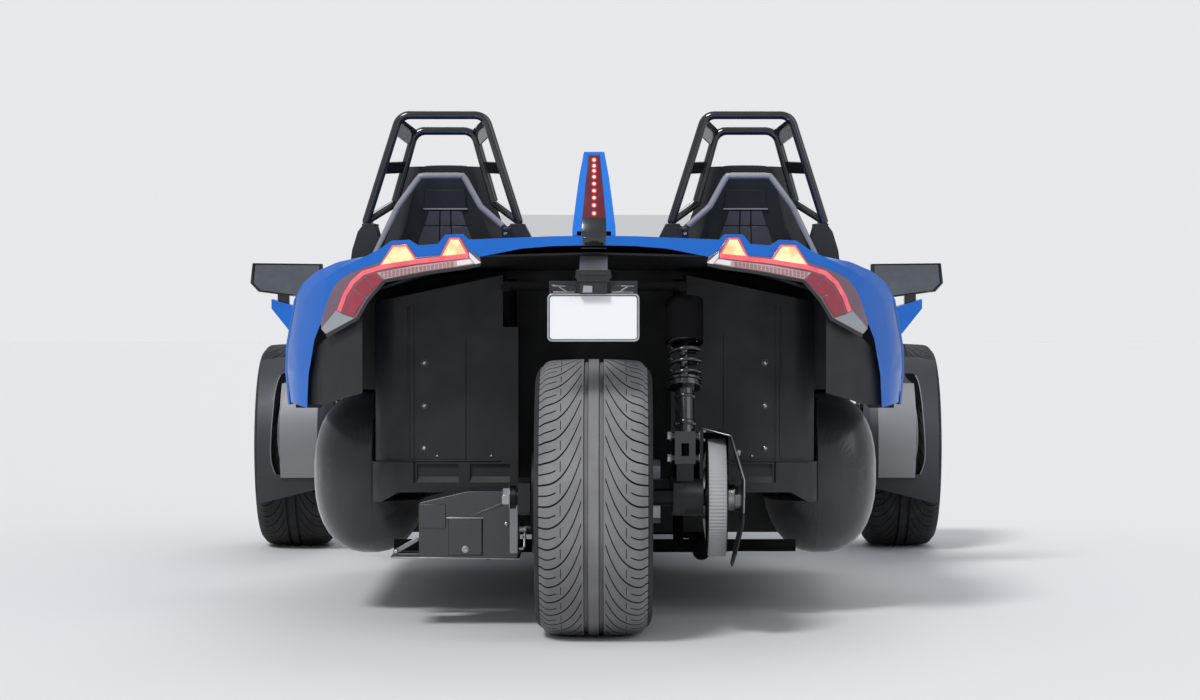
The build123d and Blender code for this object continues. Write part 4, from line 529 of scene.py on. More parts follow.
def piece(name, parts, mat, bevel=0.0, mirrored=False, sharp=PIECE_SHARP,
          body="chassis"):
    """One object from closed parts, in the row frame, riding on a body."""
    if mirrored:
        parts = parts + [flip(part) for part in parts]
    verts, faces = [], []
    for part_verts, part_faces in parts:
        start = len(verts)
        verts += [(v[0] / 1000, v[1] / 1000 + REAR_Y, v[2] / 1000) for v in part_verts]
        faces += [tuple(i + start for i in face) for face in part_faces]
    obj = new_object(name, verts, faces, body, mat)
    bm = bmesh.new()
    bm.from_mesh(obj.data)
    bmesh.ops.remove_doubles(bm, verts=bm.verts[:], dist=2e-6)
    bmesh.ops.dissolve_degenerate(bm, edges=bm.edges[:], dist=1e-6)
    bmesh.ops.recalc_face_normals(bm, faces=bm.faces[:])
    bm.to_mesh(obj.data)
    bm.free()
    shade_smooth(obj.data, sharp)
    if bevel:
        soften = obj.modifiers.new("bevel", "BEVEL")
        soften.width = bevel / 1000
        soften.segments = 2
        soften.limit_method = "ANGLE"
        soften.angle_limit = math.radians(sharp)
    return obj


def tree_of(*names):
    """Ray casting tree over nodes or pads, in metres."""
    verts, faces = [], []
    for name in names:
        obj = nodes.get(name) or bpy.data.objects[name]
        start = len(verts)
        verts += [obj.matrix_world @ v.co for v in obj.data.vertices]
        faces += [tuple(i + start for i in face.vertices) for face in obj.data.polygons]
    return BVHTree.FromPolygons(verts, faces)


# Where rays start that come from above and from the front
RAY_TOP, RAY_FRONT = 1500, 4500


def cast(tree, place, toward):
    """Point and normal where a ray from a place in mm first meets a tree, in mm."""
    start = Vector((place[0], place[1] + REAR_Y * 1000, place[2])) / 1000
    hit, normal, _, _ = tree.ray_cast(start, Vector(toward))
    if hit is None:
        return None, None
    return Vector((hit.x * 1000, (hit.y - REAR_Y) * 1000, hit.z * 1000)), normal


# Tyres, in metres. Width of the tread as a share of the tyre's, and depth of its grooves
TREAD_SHARE, TREAD_DEPTH = 0.82, 0.0072
# Places across half the crown as shares of the tread's half width
CROWN = (0.80, 0.775, 0.76, 0.72, 0.676, 0.668, 0.66, 0.6, 0.54, 0.48, 0.42, 0.365, 0.315, 0.275, 0.245,
         0.205, 0.195, 0.118, 0.107, 0.054, 0.0)
# Steps round one pitch: share, then whether it cuts the curved groove, the shoulder slot and the slit
TREAD_STEPS = [(0.0, 0, 0, 0), (0.014, 1, 0, 0), (0.076, 1, 0, 0), (0.09, 0, 0, 0), (0.3, 0, 0, 0),
               (0.34, 0, 0, 1), (0.51, 0, 0, 1), (0.52, 0, 1, 1), (0.57, 0, 1, 1), (0.58, 0, 0, 1),
               (0.74, 0, 0, 1), (0.78, 0, 0, 0)]


def arc(a, b, c, share):
    """Point on the circle through a, b and c, at share of the way."""
    ax, ay, bx, by, cx, cy = *a, *b, *c
    d = 2 * (ax * (by - cy) + bx * (cy - ay) + cx * (ay - by))
    ux = ((ax**2 + ay**2) * (by - cy) + (bx**2 + by**2) * (cy - ay) + (cx**2 + cy**2) * (ay - by)) / d
    uy = ((ax**2 + ay**2) * (cx - bx) + (bx**2 + by**2) * (ax - cx) + (cx**2 + cy**2) * (bx - ax)) / d
    a0, a2 = math.atan2(ay - uy, ax - ux), math.atan2(cy - uy, cx - ux)
    turn = (a2 - a0 + math.pi) % (2 * math.pi) - math.pi
    r = math.hypot(ax - ux, ay - uy)
    return ux + r * math.cos(a0 + turn * share), uy + r * math.sin(a0 + turn * share)


def tyre_section(od, width, bead_r, rim_width):
    """Outer face of the tyre as (x, r, share of the tread depth), from bead to bead."""
    top, half = od / 2, width / 2
    tread = width * TREAD_SHARE / 2
    bead_x = rim_width / 2 - 0.013
    foot = (bead_x, bead_r + 0.016)
    shoulder = (tread + 0.007, top - 0.017)
    wall_mid = (half - 0.0006, (foot[1] + shoulder[1]) / 2)
    edge = (tread - 0.014, top - 0.0035)
    half_line = [(bead_x, bead_r + 0.001, 0.0)]
    for i in range(13):
        x, r = arc(foot, wall_mid, shoulder, i / 12)
        rib = 0.0012 if i in (3, 4) else 0.0
        rib -= 0.0008 if i in (8, 9) else 0.0
        half_line.append((x + rib * 0.6, r, 0.0 if i < 11 else 0.5 * (i - 10)))
    for i in (1, 2, 3, 4):
        half_line.append((*arc(shoulder, (tread, top - 0.0085), edge, i / 4), 1.0))
    for x in (tread * share for share in CROWN):
        r = arc(edge, (0, top), (-edge[0], edge[1]), 0.5 * (1 - x / edge[0]))[1]
        half_line.append((x, r, 1.0))
    return half_line + [(-x, r, s) for x, r, s in half_line[-2::-1]]


def tread_cut(u, part, groove, slot, slit):
    """Depth as a share of a groove's, at u of the tread's half width."""
    if part <= 0:
        return 0.0
    if 0.11 < u < 0.2:
        return 1.0
    if groove and u > 0.25:
        return 0.92 * part
    if slot and u > 0.77:
        return 0.6 * part
    if slit and 0.664 < u < 0.672:
        return 0.4
    return 0.0


def treaded_tyre(name, centre, od, width, bead_r, rim_width, pitch, body, crown_mat):
    """Tyre with two lengthwise grooves and curved side grooves that mirror each other, cut along its grid."""
    line = tyre_section(od, width, bead_r, rim_width)
    tread = width * TREAD_SHARE / 2
    count = round(math.pi * od / pitch)

    def sweep(u):
        """How far a curved groove has turned on at a share of the tread's half width."""
        return -tread * (max(0.0, 1.04 - max(u, 0.245)) / 0.78) ** 2.55 / (od / 2)

    verts, faces, cuts, rows = [], [], [], []
    for k in range(count):
        for share, *what in TREAD_STEPS:
            row = []
            for x, r, part in line:
                u = abs(x) / tread
                deep = tread_cut(u, part, *what)
                wide = share * (1 + 1.3 * max(0.0, 0.8 - u)) if share < 0.1 else share
                angle = (k + wide) * 2 * math.pi / count + sweep(u)
                radius = r - deep * TREAD_DEPTH
                row.append(len(verts))
                cuts.append(1 if deep == 1 else 2 if deep > 0 or part < 0.5 else 0)
                verts.append((centre[0] + x, centre[1] + radius * math.cos(angle),
                              centre[2] + radius * math.sin(angle)))
            rows.append(row)
    for row, after in zip(rows, rows[1:] + rows[:1]):
        for i in range(len(line) - 1):
            faces.append((row[i], row[i + 1], after[i + 1], after[i]))
    # The crown is all faces that lie wholly on top or wholly in a lengthwise groove
    crown = [i for i, face in enumerate(faces) if {cuts[v] for v in face} in ({0}, {1})]
    # Inner face, so that the tyre is a closed shell round the rim
    inner = []
    last = len(line) - 1
    for row in rows:
        pair = []
        for i in (0, last):
            v = Vector(verts[row[i]]) - Vector(centre)
            angle = math.atan2(v.z, v.y)
            pair.append(len(verts))
            verts.append((centre[0] + line[i][0] * 0.96, centre[1] + (bead_r + 0.0006) * math.cos(angle),
                          centre[2] + (bead_r + 0.0006) * math.sin(angle)))
        inner.append(pair)
    for k in range(len(rows)):
        n = (k + 1) % len(rows)
        faces.append((rows[k][0], rows[n][0], inner[n][0], inner[k][0]))
        faces.append((rows[k][last], inner[k][1], inner[n][1], rows[n][last]))
        faces.append((inner[k][0], inner[n][0], inner[n][1], inner[k][1]))
    tyre = new_object(name, verts, faces, body, TYRE)
    shade_smooth(tyre.data)
    tyre.data.materials.append(crown_mat)
    for i in crown:
        tyre.data.polygons[i].material_index = 1
    return tyre


def make_tyres():
    """Rear and front tyres: outer diameter, width, bead radius, rim width and tread pitch."""
    # The rear crown gets lighter rubber than the front crowns, partly dust and partly painted sunlight
    rear = treaded_tyre("rear_tyre_tread", REAR_AXLE, 0.643, 0.271, 0.229, 0.252, 0.050, "rear_wheel", CROWN_DUST_AND_LIGHT)
    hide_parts("rear_tyre")
    for side, word in SIDES:
        centre = Vector((side * FRONT_X, FRONT_Y, FRONT_Z))
        tyre = treaded_tyre(f"front_tyre_tread_{word}", centre, 0.620, 0.225, 0.216, 0.203, 0.046,
                            f"front_{word}_wheel", TYRE)
        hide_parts(f"front_tyre_{word}")


# Tail lamps. Plan of the tail as (x, y), the same as the rim's
TAIL_PLAN = [(0, 0), (290, 18), (470, 52), (560, 100), (640, 176), (700, 250), (760, 330)]
# Parts of the right lamp as outlines, and the middle lines of its glow line and lip
WINDOWS = [[(498, 863), (469, 904), (440, 905), (418, 874)], [(354, 883), (334, 921), (316, 921), (298, 888)]]
GLOW_LINE = [(293, 883), (350, 877), (415, 870), (497, 857), (543, 843), (569, 821), (589, 790), (604, 752)]
LED_STRIP = [(288, 877), (324, 872), (415, 861), (509, 844), (492, 829), (383, 850), (321, 858), (276, 865)]
RED_BLOCKS = [[(511, 842), (536, 835), (516, 806), (496, 824)],
              [(539, 833), (568, 807), (536, 788), (518, 803)],
              [(570, 804), (585, 775), (594, 747), (566, 740), (553, 768), (538, 785)]]
GREY_END = [(565, 736), (595, 745), (611, 754), (650, 711), (638, 699)]
CLEAR_END = [(290, 875), (320, 871), (318, 860), (281, 866)]
CLEAR_TIP = [(291, 892), (263, 867), (274, 861), (290, 880)]
LIP = [(264, 863), (300, 855), (383, 844), (490, 824), (531, 779), (557, 735), (636, 693)]


def tail_y(x):
    """Y of the tail's plan at x."""
    for (x0, y0), (x1, y1) in zip(TAIL_PLAN, TAIL_PLAN[1:]):
        if x <= x1:
            return y0 + (y1 - y0) * (x - x0) / (x1 - x0)
    return TAIL_PLAN[-1][1]


def on_tail(outline, lead, thick):
    """Plate that follows the tail's plan, lead behind it."""
    bm = bmesh.new()
    bm.faces.new([bm.verts.new((x, 0, z)) for x, z in outline])
    bmesh.ops.triangulate(bm, faces=bm.faces[:])
    for knot, _ in TAIL_PLAN[1:-1]:
        bmesh.ops.bisect_plane(bm, geom=bm.verts[:] + bm.edges[:] + bm.faces[:], dist=0.001,
                               plane_co=(knot, 0, 0), plane_no=RIGHT)
    bm.verts.index_update()
    n = len(bm.verts)
    verts = [(v.co.x, tail_y(v.co.x) - lead, v.co.z) for v in bm.verts]
    verts += [(x, y + thick, z) for x, y, z in verts]
    faces = [tuple(v.index for v in face.verts) for face in bm.faces]
    faces += [tuple(i + n for i in reversed(face)) for face in faces]
    for edge in bm.edges:
        if edge.is_boundary:
            a, b = edge.verts[0].index, edge.verts[1].index
            faces.append((a, b, b + n, a + n))
    bm.free()
    return verts, faces


def make_tail_lamps():
    """Lit windows, glow line, light strip, reflectors and lip of both tail lamps."""
    def lamp(name, outlines, lead, thick, mat, slot="lamp_red", bevel=0.0):
        piece(name, [on_tail(outline, lead, thick) for outline in outlines], mat, bevel, True)

    lamp("lamp_lip", [band(LIP, 7)], 5.2, 4.0, GLOSS, "black_moulding", 0.8)
    lamp("lamp_window_edges", [grow(window, 4.5) for window in WINDOWS], 4.0, 2.0, PINK)
    lamp("lamp_windows", WINDOWS, 5.0, 3.0, HOT, bevel=0.8)
    lamp("lamp_glow_lines", [band(GLOW_LINE, 11)], 5.4, 3.4, PINK, bevel=1.2)
    lamp("lamp_strips", [LED_STRIP], 4.0, 2.0, STRIP)
    cells = []
    for i in range(19):
        x = 331 + i * 9.2
        top, low = 871.5 - (x - 324) * 0.145, 857 - (x - 321) * 0.155
        for j in range(2):
            z = low + (top - low) * (0.27 + 0.48 * j)
            cells.append([(x - 3.2, z - 3.0), (x + 3.2, z - 3.9), (x + 3.2, z + 3.0), (x - 3.2, z + 3.9)])
    lamp("lamp_cells", cells, 4.8, 2.0, CELL, bevel=0.6)
    clear = [on_tail(CLEAR_END, 4.7, 2.0), on_tail(CLEAR_TIP, 4.3, 2.0)]
    piece("lamp_clear_ends", clear, BRIGHT, 0.6, True)
    lamp("lamp_reflectors", RED_BLOCKS, 4.6, 2.2, DARK_RED, bevel=1.0)
    lamp("lamp_grey_ends", [GREY_END], 4.2, 2.0, SMOKE, "lamp_clear", 0.8)


# Centre fin: foot and slope of its rear face, and the heights of the dots on its lit strip
FIN_FOOT_Y, FIN_BASE_Z, FIN_SLOPE = 6.0, 912.0, 60.0 / 215.0
FIN_DOTS = [1107.5, 1093.5, 1081.8, 1067.7, 1051.4, 1035.0, 1018.6, 1001.0, 982.1]
# Dark lens below the strip as (z, half width, y behind, y ahead)
FIN_DARK = [(905.5, 23.0, -1.6, 3.0), (909, 24.5, -3.0, 3.0), (926, 27.0, -3.2, 3.0), (933, 27.6, 2.2, 9.0),
            (944, 28.2, 12.0, 15.0), (971.5, 27.6, 19.4, 22.2)]


def fin_section(z, half, share, y0, y1, edge):
    """Section of a strip on the fin, from y0 to y1, its rear edges set back by edge."""
    return [(-half, y0 + edge, z), (-half * share, y0, z), (half * share, y0, z), (half, y0 + edge, z),
            (half, y1, z), (-half, y1, z)]


def fin_y(z):
    return FIN_FOOT_Y + FIN_SLOPE * (z - FIN_BASE_Z)


def make_fin_strip():
    """Red lens with lit dots and their halos, and the dark lens and ledge below."""
    strip = []
    for z, half in ((972, 27.4), (1046, 20.5), (1118.5, 13.2)):
        y = fin_y(z) - 1 - 1.4
        strip.append(fin_section(z, half, 0.6, y, y + 2.2, 0.8))
    piece("fin_lens", [loft(strip)], FIN_RED)
    tilt = Vector((0, -1, FIN_SLOPE)).normalized()
    centres = [(0, fin_y(z) - 2.4, z) for z in FIN_DOTS]
    dot = [(-1, 0), (-1, 3.8), (0.9, 3.6), (1.9, 2.2), (2.3, 0)]
    halo = [(-1, 0), (-1, 7.0), (0.25, 6.8), (0.4, 0)]
    piece("fin_dots", [lathe(dot, centre, tilt, 20) for centre in centres], DOT)
    piece("fin_halos", [lathe(halo, centre, tilt, 24) for centre in centres], FIN_HALO)
    dark = [fin_section(z, half, 0.7, y0, y1, 1.2) for z, half, y0, y1 in FIN_DARK]
    piece("fin_dark_lens", [loft(dark)], GLOSS, bevel=0.5)
    piece("fin_foot_ledge", [prism(taper(0, 899.5, 31, 902, 29), -3.0, 20)], BLACK, bevel=0.5)


# Number plate: its middle's height and its rear face
PLATE_Z, PLATE_Y = 744, -293.4


def make_plate_trim():
    """Bright frame round the plate, dark joint inside it, light, and wings with ribs beside the light."""
    def plate_ring(wide, high, radius, inner_wide, inner_high, inner_radius, rear):
        return frame_of(rounded(wide, high, radius, z=PLATE_Z),
                        rounded(inner_wide, inner_high, inner_radius, z=PLATE_Z), rear, PLATE_Y)

    piece("plate_frame", [plate_ring(103.2, 53.8, 11, 99.6, 50.2, 8, -299.0)], ALU, 0.5)
    piece("plate_joint", [plate_ring(99.8, 50.4, 8, 97.9, 48.5, 7, -297.2)], GLOSS)
    lamp = [(-24, 800), (-2, 800), (-2, 815), (-22, 816)]
    piece("plate_light", [prism(lamp, -315.6, -312)], SMOKE, 0.8)
    cover = [prism([(0.5, 798), (26, 798), (25, 817), (0.5, 817)], -315.4, -312),
             prism(taper(0, 824, 34, 829, 38), -316.5, -311),
             prism(taper(0, 838, 30, 846, 31), -315.5, -312)]
    piece("plate_light_cover", cover, BLACK, bevel=0.8)
    face = cast(tree_of("plate_holder"), (62, -900, 807), AHEAD)[0].y
    wing = [(36, 799), (92, 799), (95, 818), (40, 816)]
    piece("plate_wings", [prism(wing, face - 2.4, face - 0.2)], GLOSS, bevel=0.6, mirrored=True)
    ribs = [[(42, 799.6), (90, 799.6), (90, 802.4), (42, 802.4)],
            [(57, 802), (63, 802), (83, 815.4), (77, 815.4)],
            [(62, 813.4), (91, 813.4), (92, 815.8), (62, 815.8)]]
    piece("plate_wing_ribs", [prism(rib, face - 4.2, face - 2) for rib in ribs], SHEET_EDGE,
          0.5, True)


# Storage bins: rear face, and its screws as (x, z, radius)
BIN_Y = 330
BIN_SCREWS = [(412, 626, 5.4), (412, 522, 5.4), (412, 419, 5.4), (381, 400, 3.0), (250, 400, 3.0)]


def make_bin_details():
    """Screws in their rings, and ribs, on the rear face of both storage bins."""
    heads, rings = [], []
    for x, z, size in BIN_SCREWS:
        heads += screw((x, BIN_Y - 0.6, z), BACK, size)
        ring = [(-1, size * 1.5), (0.5, size * 1.5), (0.9, size * 1.2)]
        rings.append(turned(ring, (x, BIN_Y, z), BACK, 28))
    piece("bin_screws", heads, ZINC, mirrored=True)
    piece("bin_screw_rings", rings, GLOSS, mirrored=True)
    ribs = [prism([(228, 386.4), (520, 386.4), (520, 389.5), (228, 389.5)], 321.6, 331),
            prism([(447, 395), (452, 395), (452, 760), (447, 760)], 328.4, 331)]
    piece("bin_ribs", ribs, BLACK, bevel=1.0, mirrored=True)


# Drive belt: sprocket and drum as (y, z, outer radius of the belt), where it lies across, its
# thickness, and how far apart its sections are
BELT_ENDS = [(0.0, REAR_Z, 137.2), (450.0, 300.0, 66.2)]
BELT_X0, BELT_X1, BELT_T, BELT_STEP = 264.5, 305.5, 7.6, 2.1


def belt_run(start, end):
    """Places on a straight run of the belt, without its ends."""
    count = round((end - start).length / BELT_STEP)
    return [start.lerp(end, i / count) for i in range(1, count)]


def make_belt():
    """Toothed belt with cross ribs on its back, round the sprocket and the drum."""
    (ya, za, ra), (yb, zb, rb) = BELT_ENDS
    line = math.atan2(zb - za, yb - ya)
    span = math.hypot(zb - za, yb - ya)
    half = math.acos((ra - rb) / span)
    path = []
    # Places as (y, z, angle of the outward direction)
    for y, z, r, start, stop in ((ya, za, ra, line + half, line + 2 * math.pi - half),
                                 (yb, zb, rb, line - half, line + half)):
        steps = round(r * (stop - start) / BELT_STEP)
        for i in range(steps + 1):
            t = start + (stop - start) * i / steps
            path.append(Vector((y + r * math.cos(t), z + r * math.sin(t), t)))
        if r == ra:
            last = path[-1]
            target = Vector((yb + rb * math.cos(line - half), zb + rb * math.sin(line - half), last.z))
            path += belt_run(last, target)
    first, last = path[0], path[-1]
    runs = round(math.hypot(first.x - last.x, first.y - last.y) / BELT_STEP)
    path += [Vector((last.x + (first.x - last.x) * i / runs, last.y + (first.y - last.y) * i / runs, last.z))
             for i in range(1, runs)]
    rings = []
    for i, (y, z, t) in enumerate(path):
        out = -0.1 if i % 4 < 2 else -1.2
        deep = -BELT_T if i % 4 in (1, 2) else -BELT_T + 2.4
        section = [(BELT_X0, deep), (BELT_X0, out - 0.8), (BELT_X0 + 1, out), (BELT_X1 - 1, out),
                   (BELT_X1, out - 0.8), (BELT_X1, deep)]
        rings.append([(x, y + depth * math.cos(t), z + depth * math.sin(t)) for x, depth in section])
    belt = piece("ribbed_belt", [loft(rings, True)], BELT, sharp=50)
    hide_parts("drive_belt")


def make_rear_bolts():
    """Bolts and screws of shock, swing arm, guard and silencer as (centre, axis, size)."""
    bolts = []
    for z in (464, 412):
        bolts += [((245, 6, z), RIGHT, 10), ((179, 6, z), LEFT, 10)]
    bolts += [((254, -14, 478), RIGHT, 6), ((254, 10, 456), RIGHT, 6),
              ((331.5, -60, 428), (1, 0, -0.2), 7), ((343, -60, 330), RIGHT, 7),
              ((-305, 125, 190), BACK, 6)]
    parts = [part for place in bolts for part in bolt(*place)]
    parts += screw((-470, 150, 182), BACK, 5) + screw((-208, 129, 250), BACK, 5)
    piece("rear_bolts", parts, ZINC, 0.3)


def make_shock_trim():
    """Rings of the rear shock, and the cup over the spring's upper end, partly a shroud and partly painted
    shade.
    """
    foot = Vector((212, 6, 466))
    axis = (Vector((212, 120, 790)) - foot).normalized()
    rings = []
    for along, radius in ((118, 41.5), (126, 39.0), (133, 42.5)):
        rings.append(turned([(along - 3, radius), (along + 3, radius)], foot, axis, 30))
    rings.append(turned([(20, 24.4), (24, 26), (30, 26), (34, 24.4)], foot, axis, 36))
    rings.append(turned([(88, 24), (92, 25.6), (96, 24)], foot, axis, 36))
    piece("shock_rings", rings, GLOSS, 0.8)
    # Near-black matte cup: partly a shroud, partly painted shade over the spring's top
    cup = turned([(331, 45), (226, 45), (226, 42.8), (328, 42.8)], foot, axis, 44)
    piece("shock_shade_cup", [cup], SHADE_BLACK, bevel=0.6)


def make_silencer_trim():
    """Edges and flaps of the silencer."""
    edges = [prism([(-482, 168.5), (-177, 165.0), (-177, 168.2), (-482, 172.0)], 127, 316),
             prism([(-200, 180), (-181, 180), (-181, 325), (-200, 325)], 127.6, 130.4),
             prism([(-350, 262), (-262, 262), (-262, 266), (-350, 266)], 123.5, 133),
             prism([(-478, 178), (-466, 178), (-418, 206), (-418, 214), (-424, 214), (-478, 184)], 168, 176)]
    piece("silencer_edges", edges, SHEET_EDGE, 0.6)
    flaps = [prism([(-412, 240), (-352, 240), (-352, 296), (-412, 296)], 126.5, 130.4),
             prism([(-296, 262), (-204, 300), (-204, 306), (-296, 268)], 127.6, 130.4)]
    piece("silencer_flaps", flaps, SHEET, 0.8)


def make_axle_ends():
    """Collar and end nuts that turn with the rear axle."""
    collar = turned([(3, 30), (4, 30.8), (17.6, 30.8), (18.6, 29.5)], (308, 0, REAR_Z), RIGHT, 48)
    ends = bolt((326, 0, REAR_Z), RIGHT, 27) + bolt((-196, 0, REAR_Z), LEFT, 22)
    piece("axle_ends", [collar] + ends, ZINC, 0.3, body="rear_wheel")


def make_guard_edge():
    """Bright edge of the belt guard, found by casting rays at the swing arm."""
    guard, edge = tree_of("swingarm"), []
    line = [(251, 484.4), (316, 468.6), (344, 370.8), (342.4, 290)]
    for (x0, z0), (x1, z1) in zip(line, line[1:]):
        for step in range(12):
            x, z = x0 + (x1 - x0) * step / 12, z0 + (z1 - z0) * step / 12
            hit = cast(guard, (x, -400, z), AHEAD)[0]
            if hit is not None and hit.y < 20:
                edge.append((x, hit.y - 0.4, z))
    piece("guard_edge", [tube(edge, 1.5, 8)], SHEET_EDGE)


def make_silencer_stay():
    pipe = [tube([(-178, 168, 236), (-166, 168, 236), (-160, 176, 236), (-160, 200, 236)], 9, 16),
            tube([(-179, 150, 190), (-170, 150, 190), (-166, 154, 194), (-166, 170, 236)], 4, 12)]
    piece("silencer_stay", pipe, ALU)


def seat_bar_path(line):
    """Path of a bar along (x, z) corners, with five points round each bend."""
    path = [line[0]]
    for before, (x, z), after in zip(line, line[1:], line[2:]):
        for t in (-0.14, -0.07, 0, 0.07, 0.14):
            a, b = (before, after) if t < 0 else (after, before)
            pull = 0.5 * (0.14 - abs(t))
            path.append((x + (a[0] - x) * abs(t) + (b[0] - x) * pull * 0.3,
                         z + (a[1] - z) * abs(t) + (b[1] - z) * pull * 0.3))
    return path + [line[-1]]


def make_hoop_fittings():
    """Feet, tabs and bolts of the hoops, and the bars behind the seats with their feet."""
    dark, bright = [], []
    for x0, x1 in ((176, 212), (548, 582)):
        for y0, y1 in ((598, 640), (694, 732)):
            corners = [(x0, y0), (x1, y0), (x1, y1), (x0, y1)]
            dark.append(([(x, y, z) for z in (960.6, 965.4) for x, y in corners], slab_faces(4)))
        for y in (632, 702):
            bright += bolt(((x0 + x1) / 2, y, 965), UP, 5.5)
    for x, z in ((224, 940), (538, 912), (536, 876), (226, 890)):
        bright += screw((x, 596, z), BACK, 5)
    piece("hoop_feet", dark, HOOP, 1.2, True)
    piece("hoop_bolts", bright, ZINC, mirrored=True)
    feet = [turned([(-4, 13), (2, 13), (4, 11)], (x, 576, z), UP, 24)
            for x, z in ((557, 860), (221, 952))]
    piece("bar_feet", feet, HOOP, 0.8, True)
    line = [(176, 868), (110, 1007), (54, 1084), (-54, 1084), (-96, 1007), (-150, 960)]
    bar = tube([(SEAT_X + x, 575.8, z) for x, z in seat_bar_path(line)], 7.6, 16)
    # The bars' grey partly paints the sunlight glinting along them
    piece("seat_bars", [bar], BAR_GREY_LIT, mirrored=True)


# Seat back, the same as the shell's. Columns: height, half width, y of the rear face
SEAT_BACK = [(235, 200, 890), (420, 216, 868), (700, 218, 818), (880, 200, 784), (960, 146, 770),
             (1060, 112, 752), (1112, 92, 746)]
# How far the pad's edge stays inside the shell's, and where its seams lie as a share of its half width
PAD_INSET, SEAM_SHARE = 19, 0.56
# How far ahead of the shell's rear face the pad starts, and the voxels that both pads are made of, in metres
PAD_REAR, PAD_VOXEL = 46.6, 0.009
# Height and half width of the pad's round top
PAD_TOP = [(1106, 76), (1111, 70), (1115, 60), (1118, 44), (1120, 20)]
# Upper edge of the cushion as (y, z), height of its flat underside, and half the width between its seams
CUSHION_TOP = [(984, 318), (992, 334), (1010, 344), (1040, 352), (1200, 366), (1370, 380), (1410, 378),
               (1436, 368), (1450, 350), (1458, 325), (1460, 300)]
CUSHION_LOW, CUSHION_SEAM = 263.0, 112
# Channels across the pads: heights on the back, y on the cushion
BACK_CHANNELS = [486, 546, 606, 666, 726, 786, 846]
CUSHION_CHANNELS = [1090, 1150, 1210, 1270, 1330, 1390]


def seat_level(z):
    """Half width and rear face of the seat back at a height."""
    for (z0, h0, y0), (z1, h1, y1) in zip(SEAT_BACK, SEAT_BACK[1:]):
        if z <= z1:
            share = (z - z0) / (z1 - z0)
            return h0 + (h1 - h0) * share, y0 + (y1 - y0) * share
    return SEAT_BACK[-1][1:]


def smooth_step(low, high, value):
    t = min(max((value - low) / (high - low), 0.0), 1.0)
    return t * t * (3 - 2 * t)


def pad_ring(half, flat, depth, crest):
    """Section of a pad as (across, out): flat behind, hollow in the middle, with a bolster each side."""
    count = 26
    front = []
    for i in range(count + 1):
        u = math.cos(math.pi * i / count)
        edge = math.sqrt(max(0.0, 1 - (max(abs(u) - 0.8, 0.0) / 0.2) ** 2))
        rise = depth * (1 - crest * (1 - smooth_step(0.46, 0.8, abs(u))))
        front.append((half * u, flat + 8 + (rise - 8) * edge))
    return [(-half + 6, flat), (half - 6, flat)] + front


def back_rings():
    """Sections of the back pad from its foot to its round top."""
    rings = []
    levels = [(424, 0.72), (430, 0.86), (442, 0.95)] + [(z, 1.0) for z in range(460, 1100, 18)]
    for z, share in levels:
        half, y = seat_level(z)
        depth = 84 - 22 * smooth_step(860, 940, z)
        section = pad_ring((half - PAD_INSET) * share, y + PAD_REAR, depth * share, 0.42)
        rings.append([(x, y0, z) for x, y0 in section])
    for z, half in PAD_TOP:
        _, y = seat_level(z)
        depth = 62 * math.sqrt(max(1 - ((z - 1096) / 26) ** 2, 0.05))
        rings.append([(x, y0, z) for x, y0 in pad_ring(half, y + PAD_REAR, depth, 0.3)])
    return rings


def cushion_rings():
    """Sections of the cushion from its rear edge to its round front edge."""
    rings = []
    for (y0, z0), (y1, z1) in zip(CUSHION_TOP, CUSHION_TOP[1:]):
        steps = max(1, round((y1 - y0) / 22))
        for i in range(steps):
            y, z = y0 + (y1 - y0) * i / steps, z0 + (z1 - z0) * i / steps
            half = 196 - 16 * smooth_step(1400, 1460, y) - 12 * smooth_step(1010, 984, y)
            rings.append([(x, y, up) for x, up in pad_ring(half, CUSHION_LOW, z - CUSHION_LOW + 4, 0.22)])
    return rings


def copy_of(obj):
    """Mesh of an object with its modifiers applied."""
    bpy.context.view_layer.update()
    return bpy.data.meshes.new_from_object(obj.evaluated_get(bpy.context.evaluated_depsgraph_get()))


def stuffed(name, rings, held, cap):
    """Mesh of a pad: remeshed, puffed by a short cloth run under pressure, and subdivided once."""
    verts, faces = loft(rings)
    mesh = bpy.data.meshes.new(name)
    mesh.from_pydata([(v[0] / 1000, v[1] / 1000, v[2] / 1000) for v in verts], [], faces)
    mesh.validate()
    bm = bmesh.new()
    bm.from_mesh(mesh)
    bmesh.ops.recalc_face_normals(bm, faces=bm.faces[:])
    bm.to_mesh(mesh)
    bm.free()
    obj = bpy.data.objects.new(name, mesh)
    bpy.context.scene.collection.objects.link(obj)
    remesh = obj.modifiers.new("remesh", "REMESH")
    remesh.mode = "VOXEL"
    remesh.voxel_size = PAD_VOXEL
    mesh = copy_of(obj)
    obj.modifiers.clear()
    obj.data = mesh
    obj.data = puffed(obj, mesh, held, cap)
    divide = obj.modifiers.new("divide", "SUBSURF")
    divide.levels = divide.render_levels = 1
    mesh = copy_of(obj)
    bpy.data.objects.remove(obj)
    return mesh


